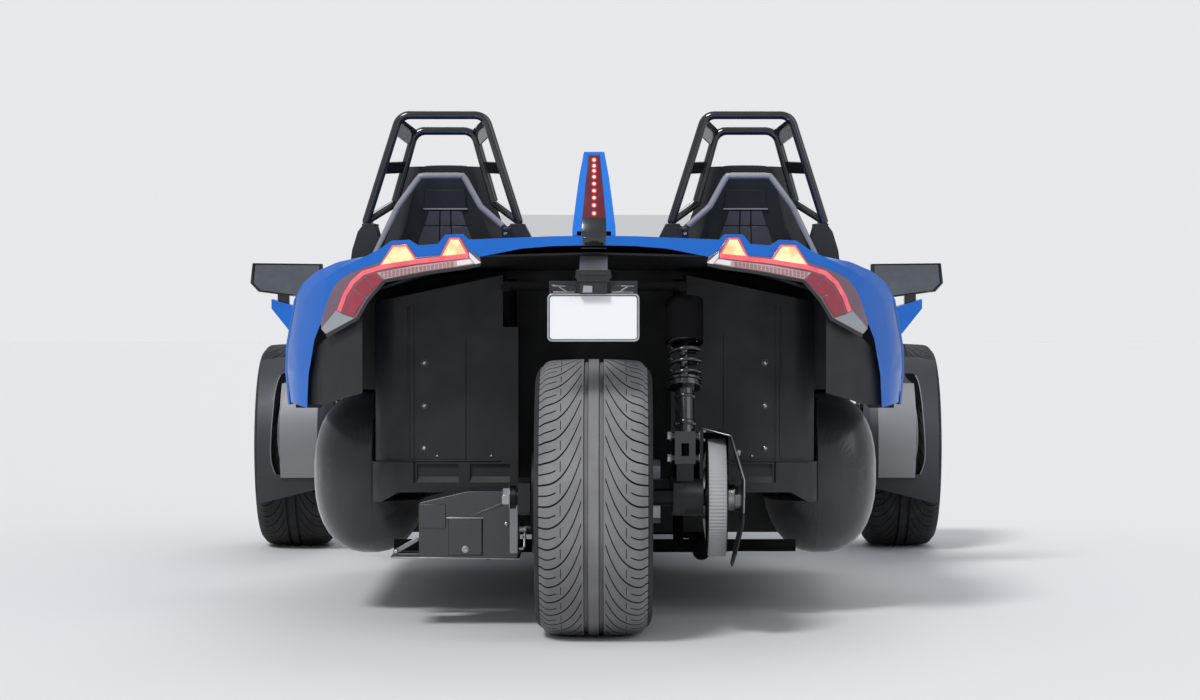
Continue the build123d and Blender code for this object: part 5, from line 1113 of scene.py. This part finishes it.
def puffed(obj, mesh, held, cap):
    """Mesh after 20 frames of pressure, with no vertex moved by more than cap mm."""
    frames = 20
    start = [v.co.copy() for v in mesh.vertices]
    group = obj.vertex_groups.new(name="held")
    group.add([v.index for v in mesh.vertices if held(v.co * 1000)], 1.0, "REPLACE")
    cloth = obj.modifiers.new("cloth", "CLOTH")
    cloth.settings.vertex_group_mass = "held"
    cloth.settings.use_pressure = True
    cloth.settings.uniform_pressure_force = 4.0
    cloth.settings.effector_weights.gravity = 0.0
    cloth.settings.quality = 4
    cloth.point_cache.frame_start, cloth.point_cache.frame_end = 1, frames
    for step in range(1, frames + 1):
        bpy.context.scene.frame_set(step)
    result = copy_of(obj)
    for vertex, place in zip(result.vertices, start):
        move = vertex.co - place
        if move.length > cap / 1000:
            vertex.co = place + move.normalized() * cap / 1000
    obj.modifiers.clear()
    bpy.context.scene.frame_set(1)
    return result


def sew(mesh, depth_at):
    """Press seams and channels into a pad along its normals."""
    normals = [v.normal.copy() for v in mesh.vertices]
    for vertex, normal in zip(mesh.vertices, normals):
        vertex.co -= normal * depth_at(vertex.co * 1000, normal) / 1000


def groove(distance, deep, wide):
    return deep * math.exp(-(distance / wide) ** 2)


def back_depth(point, normal):
    """Depth of the back pad's seams and channels at a point."""
    if normal.y < 0.15:
        return 0.0
    half = seat_level(point.z)[0] - PAD_INSET
    seam = groove(abs(point.x) - half * SEAM_SHARE, 5.0, 5.0) if 452 < point.z < 1070 else 0.0
    across = groove(point.z - 898, 6.0, 5.5)
    across = max(across, groove(point.z - 1070, 4.5, 5.0) if abs(point.x) < half * 0.6 else 0.0)
    if abs(point.x) < half * SEAM_SHARE + 4:
        across = max([across] + [groove(point.z - z, 4.4, 5.5) for z in BACK_CHANNELS])
    return max(seam, across)


def cushion_depth(point, normal):
    """Depth of the cushion's seams and channels at a point."""
    if normal.z < 0.1:
        return 0.0
    seam = groove(abs(point.x) - CUSHION_SEAM, 5.0, 5.0) if point.y > 990 else 0.0
    if abs(point.x) < CUSHION_SEAM + 4:
        seam = max([seam] + [groove(point.y - y, 4.4, 5.5) for y in CUSHION_CHANNELS])
    return seam


def stitches(tree, lines, toward):
    """Short threads laid along lines on a pad, found by casting rays toward it."""
    pitch = 9.0
    parts = []
    for line in lines:
        for a, b in zip(line, line[1:]):
            a, b = Vector(a), Vector(b)
            count = max(1, round((b - a).length / pitch))
            for i in range(count):
                ends = []
                for share in (i / count, (i + 0.62) / count):
                    place = (a.lerp(b, share) - Vector(toward) * 300) / 1000
                    hit, normal, _, _ = tree.ray_cast(place, Vector(toward))
                    if hit is not None:
                        ends.append((hit + normal * 0.0003) * 1000)
                if len(ends) == 2 and (ends[0] - ends[1]).length < pitch * 1.5:
                    parts.append(tube(ends, 0.75, 5))
    return parts


def make_seats():
    """Puffed and sewn pads, with stitches beside their seams."""
    back = stuffed("back_pad", back_rings(), lambda p: p.y < seat_level(p.z)[1] + 52, 6.0)
    cushion = stuffed("seat_cushion", cushion_rings(), lambda p: p.z < 270, 8.0)
    back_lines, cushion_lines = [], []
    for side in (-1, 1):
        for step in (-7, 7):
            back_lines.append([(side * ((seat_level(z)[0] - PAD_INSET) * SEAM_SHARE + step), 1000, z)
                               for z in range(460, 1065, 24)])
            cushion_lines.append([(side * CUSHION_SEAM + step, y, 500)
                                  for y in (1000, 1120, 1240, 1360, 1420)])
    kinds = [("back_pad", back, back_depth, back_lines, BACK),
             ("seat_cushion", cushion, cushion_depth, cushion_lines, DOWN)]
    for name, mesh, depth, lines, toward in kinds:
        sew(mesh, depth)
        mesh.materials.clear()
        mesh.materials.append(FABRIC)
        for face in mesh.polygons:
            face.use_smooth = True
        tree = BVHTree.FromPolygons([v.co for v in mesh.vertices], [f.vertices[:] for f in mesh.polygons])
        threads = stitches(tree, lines, toward)
        for side, word in SIDES[::-1]:
            own = mesh.copy()
            for vertex in own.vertices:
                vertex.co += Vector((side * SEAT_X / 1000, REAR_Y, 0))
            pad = bpy.data.objects.new(f"{name}_{word}", own)
            bpy.context.scene.collection.objects.link(pad)
            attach(pad, "chassis")
            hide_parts("seat_pads")
            moved = [([(v[0] + side * SEAT_X, v[1], v[2]) for v in verts], faces) for verts, faces in threads]
            piece(f"{name}_stitches_{word}", moved, THREAD)


def on_back(outline, lead, thick):
    """Plate behind a seat back, x from the seat's middle."""
    return fitted([(SEAT_X + x, z) for x, z in outline], lambda z: seat_level(z)[1], lead, thick)


def make_seat_backs():
    """Band, bright line, panels and ribs on the rear face of both seats."""
    piece("seat_band", [on_back(taper(0, 1006, 55, 1054, 50), 5, 6)], SHELL, 2.5, True)
    line = on_back(taper(0, 1001.5, 57, 1006.5, 57), 7, 7)
    piece("seat_lines", [line], SEAT_LINE, 1.5, True)
    # Each panel as left and right x along its upper edge, then along its lower edge
    rows = [(1000, 962, [(-41, -15, -54, -16), (-12, 12, -13, 13), (15, 41, 16, 54)]),
            (960, 884, [(-55, -16, -82, -18), (-13, 13, -15, 15), (16, 55, 18, 82)])]
    panels = [on_back([(a, top), (b, top), (d, low), (c, low)], 4, 5)
              for top, low, row in rows for a, b, c, d in row]
    piece("seat_panels", panels, SEAT_PANEL, 1.5, True)
    across = (-120, -60, 0, 60, 120)
    ribs = [on_back(taper(x, 860, 7, 705, 8), 5, 6) for x in across]
    ribs += [on_back(taper(x, 695, 8, 430, 8), 5, 6) for x in across]
    piece("seat_ribs", ribs, SHELL, 2.0, True)


def make_mirror_glass():
    outline = [(756, 866), (952, 868), (958, 812), (936, 788), (812, 772), (756, 800)]
    glass = [(x * 0.9 + 87, z * 0.9 + 82.5) for x, z in outline]
    piece("mirror_glass", [prism(glass, 1551.2, 1555)], MIRROR, 0.6, True)


# Instruments: middle of the binnacle's recess and its rear face
GAUGE_X, GAUGE_Z, GAUGE_Y = -381.0, 808.0, 1612.0


def make_instruments():
    """Two round gauges with a small screen between them."""
    size = 32
    faces, rings, marks, needles = [], [], [], []
    for dx in (-52, 52):
        centre = (GAUGE_X + dx, GAUGE_Y, GAUGE_Z)
        faces.append(turned([(-1, size), (2.5, size)], centre, BACK, 48))
        rings.append(lathe([(-1, size - 1), (-1, size + 5), (7, size + 5), (10, size + 2.5), (10, size),
                            (2, size - 2.5)], centre, BACK, 48))
        for i in range(19):
            t = math.radians(-40 + i * 260 / 18)
            # Every third mark is longer and thicker
            r0, r1 = size - (8 if i % 3 == 0 else 5.5), size - 3
            half = 0.8 if i % 3 == 0 else 0.45
            along, side = Vector((math.cos(t), math.sin(t))), Vector((-math.sin(t), math.cos(t))) * half
            corners = [along * r0 - side, along * r1 - side, along * r1 + side, along * r0 + side]
            outline = [(centre[0] + c.x, centre[2] + c.y) for c in corners]
            marks.append(prism(outline, GAUGE_Y - 3.1, GAUGE_Y - 2))
        t = math.radians(212)
        tip = Vector((math.cos(t), math.sin(t))) * (size - 9)
        side = Vector((-math.sin(t), math.cos(t)))
        corners = [-tip * 0.25 - side * 1.6, tip - side * 0.5, tip + side * 0.5, -tip * 0.25 + side * 1.6]
        needles.append(prism([(centre[0] + c.x, centre[2] + c.y) for c in corners], GAUGE_Y - 5, GAUGE_Y - 4))
        needles.append(lathe([(2, 0), (2, 4.2), (6, 3.8), (6.4, 0)], centre, BACK, 24))
    piece("gauge_faces", faces, GAUGE)
    piece("gauge_rings", rings, ALU, 0.5)
    piece("gauge_marks", marks, MARK)
    piece("gauge_needles", needles, NEEDLE)
    screen = rounded(13, 22, 4, GAUGE_X, GAUGE_Z)
    piece("gauge_screen", [prism(screen, GAUGE_Y - 4, GAUGE_Y + 1)], GLASS, bevel=0.6)


def dash_y(z):
    """Y of the dash's rear face at a height: it slopes away above and below z = 700."""
    return 1614 + 16 * (z - 700) / 90 if z > 700 else 1614 + 26 * (700 - z) / 140


def make_dash_trim():
    """Screen, vents, switches and seam pads on the dash."""
    piece("dash_screen_rim", [fitted(rounded(102, 39, 9, z=742), dash_y, 9, 10)], GLOSS, bevel=2.0)
    piece("dash_screen", [fitted(rounded(88, 32, 3, z=744), dash_y, 10.2, 4)], GLASS, bevel=0.5)
    keys = [fitted(rounded(10, 5.5, 2, i * 26, 690), dash_y, 9, 10) for i in (-3, -2, -1, 1, 2, 3)]
    knob = turned([(-2, 13), (8, 13), (12, 10.5)], (0, 1606, 690), BACK, 32)
    piece("dash_keys", keys, GLOSS, bevel=1.2)
    piece("dash_knob", [knob], ALU, 0.8)
    vent_z = 752
    vents, blades = [], []
    for x in (-150, 150, -536, 536):
        wide = 28 if abs(x) < 200 else 34
        vents.append(lathe([(-2, wide - 4), (-2, wide + 4), (6, wide + 4), (9, wide + 1), (9, wide - 3),
                            (1, wide - 6)], (x, 1616, vent_z), BACK, 40))
        for dz in (-18, -9, 0, 9, 18):
            reach = math.sqrt(wide**2 - dz**2) - 2
            blades.append(prism(taper(x, vent_z + dz - 1.2, reach, vent_z + dz + 1.2, reach), 1611, 1622))
    piece("vent_rings", vents, SMOKE, bevel=0.8)
    piece("vent_blades", blades, BLACK, bevel=0.4)
    strips = [fitted(rounded(118, 14, 6, 372, 768), dash_y, 4, 5),
              fitted(rounded(190, 12, 6, 372, 660), dash_y, 4, 5)]
    piece("dash_strips", strips, SMOKE, bevel=1.5)


# Middle of the steering wheel, and how far its plane leans
WHEEL_HUB = Vector((-SEAT_X, 1405, 800))
WHEEL_LEAN = math.radians(24)


def make_wheel_trim():
    """Boss cap, bolts, buttons, seam and grips of the steering wheel."""
    up = Vector((0, math.sin(WHEEL_LEAN), math.cos(WHEEL_LEAN)))
    out = Vector((0, -math.cos(WHEEL_LEAN), math.sin(WHEEL_LEAN)))

    def at(x, y, z=0.0):
        return WHEEL_HUB + Vector((x, 0, 0)) + up * y + out * z

    def round_hub(radius, t, z=0.0):
        return at(radius * math.cos(t), radius * math.sin(t), z)

    cap = lathe([(7, 0), (7, 24), (12, 24), (15, 20), (16, 0)], WHEEL_HUB, out, 40)
    piece("wheel_cap", [cap], GLOSS, bevel=0.6, body="steering_wheel")
    bolts = []
    for i in range(6):
        bolts += bolt(round_hub(35, math.radians(60 * i + 30), 9), out, 4.2)
    piece("wheel_bolts", bolts, ZINC, body="steering_wheel")
    keys = [turned([(0, 6.5), (3.5, 6.5), (4.5, 5)], at(side * x, 4, 2.5), out, 20)
            for side in (-1, 1) for x in (70, 88, 106)]
    piece("wheel_keys", keys, SMOKE, bevel=0.4, body="steering_wheel")
    seams = []
    for i in range(96):
        t = math.radians(-52 + 284 * i / 95)
        seams.append(tube([round_hub(156.4, t, -3), round_hub(155.6, t + 0.022, 3.2)], 0.8, 5))
    piece("wheel_seam", seams, THREAD, body="steering_wheel")
    grips = []
    for start, stop in ((-28, 44), (136, 208)):
        path = [round_hub(170, math.radians(t)) for t in range(start, stop + 1, 4)]
        grips.append(tube(path, 15.2, 18))
    piece("wheel_grips", grips, FABRIC, bevel=0.8, body="steering_wheel")


def make_controls():
    """Gaiter and knob of the lever, and the pedals."""
    # Folds of the gaiter as (z, half width, y of its middle)
    folds = [(435, 34, 1288), (441, 38, 1288), (448, 36, 1287), (462, 25, 1283), (468, 26, 1281),
             (486, 16, 1276), (491, 17, 1275), (506, 10, 1270), (512, 9, 1270)]
    rings = [[(x, y + d, z) for x, d in rounded(half, half * 1.15, half * 0.4)] for z, half, y in folds]
    piece("lever_gaiter", [loft(rings)], FABRIC)
    shape = [(0, 0), (0, 9), (8, 11), (22, 19), (34, 22), (46, 20), (54, 12), (57, 0)]
    axis = Vector((0, -30, 124)).normalized()
    piece("lever_knob", [lathe(shape, (0, 1267, 538), axis, 32)], GLOSS)
    arms, pads, ribs = [], [], []
    for x, half, low, high in ((-318, 22, 285, 400), (-392, 38, 318, 384), (-462, 32, 318, 384)):
        arm = [(x, 1672, 562), (x, 1664, 480), (x, 1650, 400), (x, 1640, (low + high) / 2)]
        arms.append(tube(arm, 7, 12))
        pads.append(prism(taper(x, low, half, high, half), 1626, 1640))
        for i in range(4):
            z = low + (high - low) * (i + 0.7) / 4.4
            ribs.append(prism(taper(x, z - 3, half - 5, z + 3, half - 5), 1623.5, 1627))
    piece("pedal_arms", arms, FRAME)
    piece("pedal_pads", pads, ALU, 2.0)
    piece("pedal_ribs", ribs, TRIM, 1.0)


# Webbing: width, thickness, gap over the pad, and the places across it as shares of half its width
STRAP_W, STRAP_T, STRAP_GAP = 44, 1.6, 1.4
STRAP_ACROSS = (-1, -0.6, -0.2, 0.2, 0.6, 1)
# Guide behind the shoulder, and the buckle's distance from the seat's middle
GUIDE_X, BUCKLE_X = 577, 178


def free_rings(places):
    """Sections of webbing in the air. Each place is a point, a side and an outward direction."""
    rings = []
    for point, side, out in places:
        point, side, out = Vector(point), Vector(side).normalized(), Vector(out).normalized()
        upper = [point + side * STRAP_W / 2 * share + out * STRAP_T for share in STRAP_ACROSS]
        rings.append(upper + [p - out * STRAP_T for p in upper[::-1]])
    return rings


def laid_rings(tree, line, toward):
    """Sections of webbing laid over a tree along (x, y, z) points, found by rays."""
    points = []
    for a, b in zip(line, line[1:]):
        a, b = Vector(a), Vector(b)
        count = max(1, round((b - a).length / 10))
        points += [a.lerp(b, i / count) for i in range(count)]
    points.append(Vector(line[-1]))
    toward = Vector(toward)
    rings = []
    for i, point in enumerate(points):
        along = points[min(i + 1, len(points) - 1)] - points[max(i - 1, 0)]
        side = along.cross(toward).normalized() * STRAP_W / 2
        hits = [cast(tree, point + side * share, toward)[0] for share in STRAP_ACROSS]
        if None not in hits:
            upper = [hit - toward * (STRAP_GAP + STRAP_T) for hit in hits]
            rings.append(upper + [hit - toward * STRAP_GAP for hit in hits[::-1]])
    return rings


def make_belts():
    """Fastened belt of each seat, from its guide behind the shoulder to the buckle and over the lap."""
    straps, buckles, keys, guides, tongues = [], [], [], [], []
    for side, word in SIDES[::-1]:
        tree = tree_of(f"back_pad_{word}", f"seat_cushion_{word}")
        chest = [(146, 866), (136, 790), (90, 640), (20, 520), (-70, 462)]
        laid = laid_rings(tree, [(side * (SEAT_X + x), 1300, z) for x, z in chest], BACK)
        lead = free_rings([((side * GUIDE_X, 741, 904), LEFT, (0, 0.2, 1)),
                           ((side * 576, 800, 925), LEFT, UP),
                           ((side * 566, 858, 918), (-1, 0, -0.1 * side), (0, 0.6, 0.8)),
                           ((side * 548, 890, 892), (-1, 0, -0.1 * side), (0, 0.9, 0.3))])
        tail = free_rings([((side * 262, 1006, 440), (-1, 0, 0.5 * side), (0, 1, 0.2)),
                           ((side * 216, 1024, 424), (-1, 0, 0.3 * side), (0, 1, 0.2))])
        straps.append(loft(lead + laid + tail))
        waist = [(180, 1024), (100, 1044), (0, 1052), (-100, 1046), (-165, 1030)]
        lap = laid_rings(tree, [(side * (SEAT_X + x), y, 600) for x, y in waist], DOWN)
        # The right lap strap runs the other way, so its sections are turned to match
        if side > 0:
            lap = [ring[5::-1] + ring[:5:-1] for ring in lap]
        straps.append(loft(lap))
        guides.append(prism(taper(side * GUIDE_X, 886, 27, 922, 24), 731, 741))
        x = side * (SEAT_X - BUCKLE_X)
        buckles.append(prism(taper(x, 345, 17, 408, 15), 1014, 1036))
        keys.append(prism(taper(x, 405, 11, 411, 11), 1026, 1034.5))
        tongues.append(prism(taper(x, 400, 9, 430, 12), 1019, 1022.5))
    piece("webbing", straps, WEBBING)
    piece("belt_buckles", buckles, GLOSS, bevel=3.0)
    piece("belt_keys", keys, NEEDLE, bevel=1.0)
    piece("belt_tongues", tongues, ZINC, 1.0)
    piece("belt_guides", guides, GLOSS, bevel=2.0)


def make_sill_trim():
    """Rubber strip over the joint between tub wall and outer panels."""
    tub, panels = tree_of("cockpit_tub"), tree_of("rear_fender_right", "side_panel_right")
    rings = []
    for y in range(746, 1625, 21):
        wall = cast(tub, (613, y, RAY_TOP), DOWN)[0].z
        places = [cast(panels, (x, y, RAY_TOP), DOWN)[0] for x in range(623, 650)]
        places = [place for place in places if place is not None]
        if len(places) > 9:
            edge, land = places[0], places[8]
            rings.append([(602.5, y, wall - 6), (602.5, y, wall + 3), (621, y, wall + 3.5),
                          (edge.x - 1, y, edge.z + 2.8), (land.x, y, land.z + 2.8), (land.x, y, land.z + 0.4),
                          (edge.x + 0.5, y, edge.z - 0.6), (621, y, wall + 0.4), (605, y, wall + 0.4),
                          (605, y, wall - 6)])
    piece("sill_trim", [loft(rings)], TRIM, mirrored=True)


def make_seam_seal():
    """Rubber seal below the open joint between rear fender and side panel."""
    trees = [(1130, tree_of("rear_fender_right")), (1152, tree_of("side_panel_right"))]
    rings = []
    for step in range(33):
        turn = math.radians(86 - 3 * step)
        out = Vector((math.cos(turn), 0, math.sin(turn)))
        hits = [cast(tree, Vector((600, y, 470)) + out * 500, -out)[0] for y, tree in trees]
        if None not in hits:
            rings.append([hits[0] - out * 2, hits[1] - out * 2, hits[1] - out * 6, hits[0] - out * 6])
    piece("seam_seal", [loft(rings)], TRIM, mirrored=True)


# Outer faces of a front wheel's hub and brake disc, and inner radius of the panel in its fender
HUB_FACE_X, DISC_FACE_X, PANEL_R = 984.0, 888.5, 338.7


def round_wheel(radius, t):
    """(y, z) on a circle about the front axle."""
    return WHEEL_Y + radius * math.cos(t), WHEEL_Z + radius * math.sin(t)


def make_wheel_details():
    """Nuts, caps and valves of the front wheels, and black plugs that paint the shade inside the holes
    drilled in every brake disc.
    """
    for side, word in SIDES:
        def on_face(shape, turns, y=WHEEL_Y, z=WHEEL_Z):
            return lathe(shape, (side * HUB_FACE_X, y, z), (side, 0, 0), turns)

        nut = [(-6, 0), (-6, 10.5), (0, 10.5), (1, 9), (12, 9), (14, 7), (14, 0)]
        washer = [(-1, 0), (-1, 12), (1.4, 12), (2.2, 10.5), (2.2, 0)]
        nuts, holes = [], []
        for i in range(5):
            place = round_wheel(40, math.radians(72 * i + 36))
            nuts += [on_face(nut, 6, *place), on_face(washer, 24, *place)]
        cap = on_face([(-20, 0), (-20, 24), (3, 24), (6, 21), (7.5, 14), (8, 0)], 36)
        nuts.append(on_face([(0, 27), (0, 31), (2.5, 31), (3, 27)], 36))
        stem = [(side * x, WHEEL_Y + y, WHEEL_Z + z)
                for x, y, z in ((1008, 60, 187), (1012, 54, 168), (1013.5, 52, 161))]
        valve = [tube(stem[:2], 3.2, 12), tube(stem[1:], 4.4, 12)]
        # Each hole is a solid near-black plug: painted shade
        for ring, count, turn in ((92, 18, 0.0), (108, 18, 0.5), (124, 18, 0.0)):
            for i in range(count):
                y, z = round_wheel(ring, 2 * math.pi * (i + turn) / count)
                holes.append(turned([(-0.3, 4), (15.3, 4)], (side * DISC_FACE_X, y, z), (side, 0, 0), 14))
        body = f"front_{word}_wheel"
        piece(f"wheel_nuts_{word}", nuts, ZINC, 0.4, body=body)
        piece(f"wheel_caps_{word}", [cap], GLOSS, bevel=0.5, body=body)
        piece(f"wheel_valves_{word}", valve, BLACK, body=body)
        piece(f"disc_hole_shades_{word}", holes, HOLE_SHADE, body=body)


# Edges of the slot in the front fender as (x, z) from the wheel's middle
SLOT_EDGES = [[(42, -73), (54, -34), (55, 26), (50, 112), (46, 168), (40, 203), (33, 220)],
              [(17, 183), (29, 117), (33, 57), (30, -4), (16, -76)]]
# The slot's top: height above the axle, then inner and outer x from the wheel's middle
SLOT_TOP = [(112, 42, 49), (140, 34, 48), (165, 28, 46), (190, 26, 42), (200, 20, 40), (210, 8, 37),
            (219, 2, 34), (226, 2, 25)]


def make_fender_panels():
    """Pale inner panel behind each front tyre, with the lips and the turned-in top of its slot. The panel's
    pale grey is partly its own paint and partly painted sunlight, the pale lips paint highlight lines along
    the slot's edges, and the top is in painted-shade black.
    """
    for side, word in SIDES:
        def at(x, r, t):
            return side * (WHEEL_X + x), *round_wheel(r, t)

        def section(inner, outer, r, t):
            """Corners of a section from inner to outer x, and from the panel's inner radius to r."""
            return [at(inner, PANEL_R, t), at(outer, PANEL_R, t), at(outer, r, t), at(inner, r, t)]

        rings = []
        for k in range(21):
            t = math.radians(144.5 + 49.5 * k / 20)
            inner, outer = -84.0, 14.0 + 16.0 * math.cos((math.degrees(t) - 168) * math.radians(1.6))
            swell = 1.3 * max(0, k - 16)
            rings.append(section(inner, outer, 340.4 + swell, t))
        body = f"front_{word}_knuckle"
        # The panel's pale grey is partly painted sunlight
        piece(f"fender_panel_{word}", [loft(rings)], PALE_AND_LIT, 0.6, body=body)
        caps = []
        for z, inner, outer in SLOT_TOP:
            t = math.pi - math.asin(z / 339)
            caps.append(section(inner, outer, 339.8, t))
        # The slot's turned-in top is drawn in near-black matte: painted shade inside the slot
        piece(f"fender_slot_shade_{word}", [loft(caps)], SHADE_BLACK, body=body)
        lips = []
        for line in SLOT_EDGES:
            path = [at(x, 339.2, math.pi - math.asin(z / 339.2)) for x, z in smooth_line(line, 5)]
            lips.append(tube(path, 1.8, 8))
        # Pale lips paint the bright highlight lines along the slot's edges
        piece(f"fender_highlight_lips_{word}", lips, PALE_AND_LIT, body=body)


def make_headlamp_insides():
    """Bowls, eyes and light strips behind the headlamp lenses, set back from them by casting rays."""
    front = tree_of("headlamps")
    bowls, eyes, strips = [], [], []
    for x, z, size in ((214, 452, 19), (286, 458, 17)):
        hit, _ = cast(front, (x, RAY_FRONT, z), BACK)
        centre = (x, hit.y - 48, z)
        bowl = [(0, 0), (0, size + 3), (22, size + 5), (22, size + 1), (6, size - 4), (4, 0)]
        eye = [(6, 0), (6, size - 3), (14, size - 5), (20, size - 11), (22, 0)]
        bowls.append(lathe(bowl, centre, AHEAD, 36))
        eyes.append(lathe(eye, centre, AHEAD, 32))
    for i in range(9):
        x = 182 + i * 17
        z = 432 + (x - 180) * 0.02
        hit, _ = cast(front, (x, RAY_FRONT, z), BACK)
        strips.append(prism(taper(x, z - 4, 6.5, z + 3, 6.5), hit.y - 22, hit.y - 8))
    piece("headlamp_bowls", bowls, REFLECTOR, 0.6, True)
    piece("headlamp_eyes", eyes, CLEAR, mirrored=True)
    piece("headlamp_strips", strips, BRIGHT, 1.0, True)


def make_grille():
    """Mesh and edge of the grille, and the radiator and duct behind it."""
    mesh = []
    for i in range(-13, 14):
        x = i * 15.0
        for lean in (-60, 60):
            mesh.append(tube([(x - lean / 2, 3386, 166), (x + lean / 2, 3386, 338)], 1.5, 6))
    piece("grille_mesh", mesh, FRAME)
    fins = [prism(taper(0, 162, 192, 344, 192), 3346, 3360)]
    fins += [prism([(x, 166), (x + 1.6, 166), (x + 1.6, 340), (x, 340)], 3359, 3366)
             for x in range(-188, 189, 8)]
    fins += [prism(taper(0, z, 190, z + 3, 190), 3359, 3368) for z in range(176, 336, 16)]
    piece("radiator", fins, RADIATOR)
    piece("radiator_duct", [prism(taper(0, 340, 150, 452, 130), 3340, 3348)], BLACK, bevel=1.0)
    surround = frame_of(rounded(204, 92, 12, z=252), rounded(194, 82, 10, z=252), 3382, 3390)
    piece("grille_edge", [surround], BLACK, bevel=1.0)


def make_screen_fittings():
    """Black foot along the windscreen's curved lower edge, and its screws."""
    # The edge's half width, and its y in the middle and at the sides
    half, mid, side_y = 540.0, 1868.0, 1690.0
    drop = mid - side_y
    radius = (half**2 + drop**2) / (2 * drop)
    edge = []
    for i in range(41):
        x = -half + 2 * half * i / 40
        y = mid - radius + math.sqrt(radius**2 - x**2)
        edge.append((x, y - 1, 829.5))
    piece("screen_foot", [tube(edge, 6.0, 10, flat=0.8)], BLACK)
    screen, screws = tree_of("windscreen"), []
    for x in (-430, -260, -90, 90, 260, 430):
        hit, normal = cast(screen, (x, 1200, 856), AHEAD)
        screws += screw(hit + normal * -0.2, normal, 6.5)
    piece("screen_screws", screws, ZINC)


def make_hood_louvres():
    """Blades in the two slots of the hood, and the closing panel below its rear edge."""
    hood = tree_of("hood")
    # Slot edges as (y, inner x, outer x)
    rows = [(2180, 150, 231.7), (2380, 146.5, 206)]
    blades = []
    for i in range(7):
        y = 2188 + i * 27
        share = (y - rows[0][0]) / (rows[1][0] - rows[0][0])
        x0, x1 = (a + (b - a) * share for a, b in zip(rows[0][1:], rows[1][1:]))
        z0, z1 = (cast(hood, (x, y, 1200), DOWN)[0].z for x in (x0 - 8, x1 + 8))
        rings = []
        for x, z in ((x0 - 2, z0), (x1 + 2, z1)):
            rings.append([(x, y - 15, z - 16), (x, y + 9, z - 7), (x, y + 9, z - 4.5), (x, y - 15, z - 13.5)])
        blades.append(loft(rings))
    piece("hood_louvres", blades, BLACK, bevel=0.5, mirrored=True, body="hood")
    panel = [(-541, 812), (541, 812), (541, 819), (356, 853), (148, 871), (-148, 871), (-356, 853),
             (-541, 819)]
    piece("cowl_panel", [prism(panel, 1897, 1900)], BLACK, bevel=0.5)


# Large soft suns: where each comes from, its strength and how wide it is in degrees
SUNS = [((-3.0, -5.5, 6.5), 2.1, 14), ((4.5, -3.5, 3.0), 0.5, 40), ((1.0, 5.0, 4.5), 0.6, 30)]


def make_world():
    """Soft light on the object, and a plain grey backdrop where the camera sees past it."""
    world = bpy.data.worlds.new("studio")
    bpy.context.scene.world = world
    world.use_nodes = True
    tree = world.node_tree
    soft = tree.nodes["Background"]
    soft.inputs["Color"].default_value = (0.84, 0.88, 0.95, 1)
    soft.inputs["Strength"].default_value = 0.62
    seen = tree.nodes.new("ShaderNodeBackground")
    seen.inputs["Color"].default_value = (0.8, 0.81, 0.83, 1)
    seen.inputs["Strength"].default_value = 1.0
    path = tree.nodes.new("ShaderNodeLightPath")
    direct = tree.nodes.new("ShaderNodeMath")
    direct.operation = "ADD"
    direct.use_clamp = True
    mix = tree.nodes.new("ShaderNodeMixShader")
    tree.links.new(path.outputs["Is Camera Ray"], direct.inputs[0])
    tree.links.new(path.outputs["Is Transmission Ray"], direct.inputs[1])
    tree.links.new(direct.outputs["Value"], mix.inputs["Fac"])
    tree.links.new(soft.outputs["Background"], mix.inputs[1])
    tree.links.new(seen.outputs["Background"], mix.inputs[2])
    tree.links.new(mix.outputs["Shader"], tree.nodes["World Output"].inputs["Surface"])


def make_stage():
    """Floor, world and suns."""
    bpy.ops.mesh.primitive_plane_add(size=60, location=(0, 0, 0))
    floor = bpy.context.object
    floor.name = "floor"
    mat, _ = new_material("floor", (0.64, 0.64, 0.64), 0.75)
    floor.data.materials.append(mat)
    make_world()
    for i, (place, power, wide) in enumerate(SUNS):
        light = bpy.data.lights.new(f"sun_{i}", "SUN")
        light.energy = power
        light.angle = math.radians(wide)
        lamp = bpy.data.objects.new(f"sun_{i}", light)
        bpy.context.scene.collection.objects.link(lamp)
        lamp.location = place
        lamp.rotation_mode = "QUATERNION"
        lamp.rotation_quaternion = (-Vector(place)).to_track_quat("-Z", "Y")
    bpy.context.scene.view_settings.view_transform = "Standard"


dress_frame()
make_tyres()
make_tail_lamps()
make_fin_strip()
make_plate_trim()
make_bin_details()
make_belt()
make_rear_bolts()
make_shock_trim()
make_silencer_trim()
make_axle_ends()
make_guard_edge()
make_silencer_stay()
make_hoop_fittings()
make_mirror_glass()
make_seats()
make_seat_backs()
make_instruments()
make_dash_trim()
make_wheel_trim()
make_controls()
make_belts()
make_sill_trim()
make_seam_seal()
make_wheel_details()
make_fender_panels()
make_headlamp_insides()
make_grille()
make_screen_fittings()
make_hood_louvres()
make_stage()
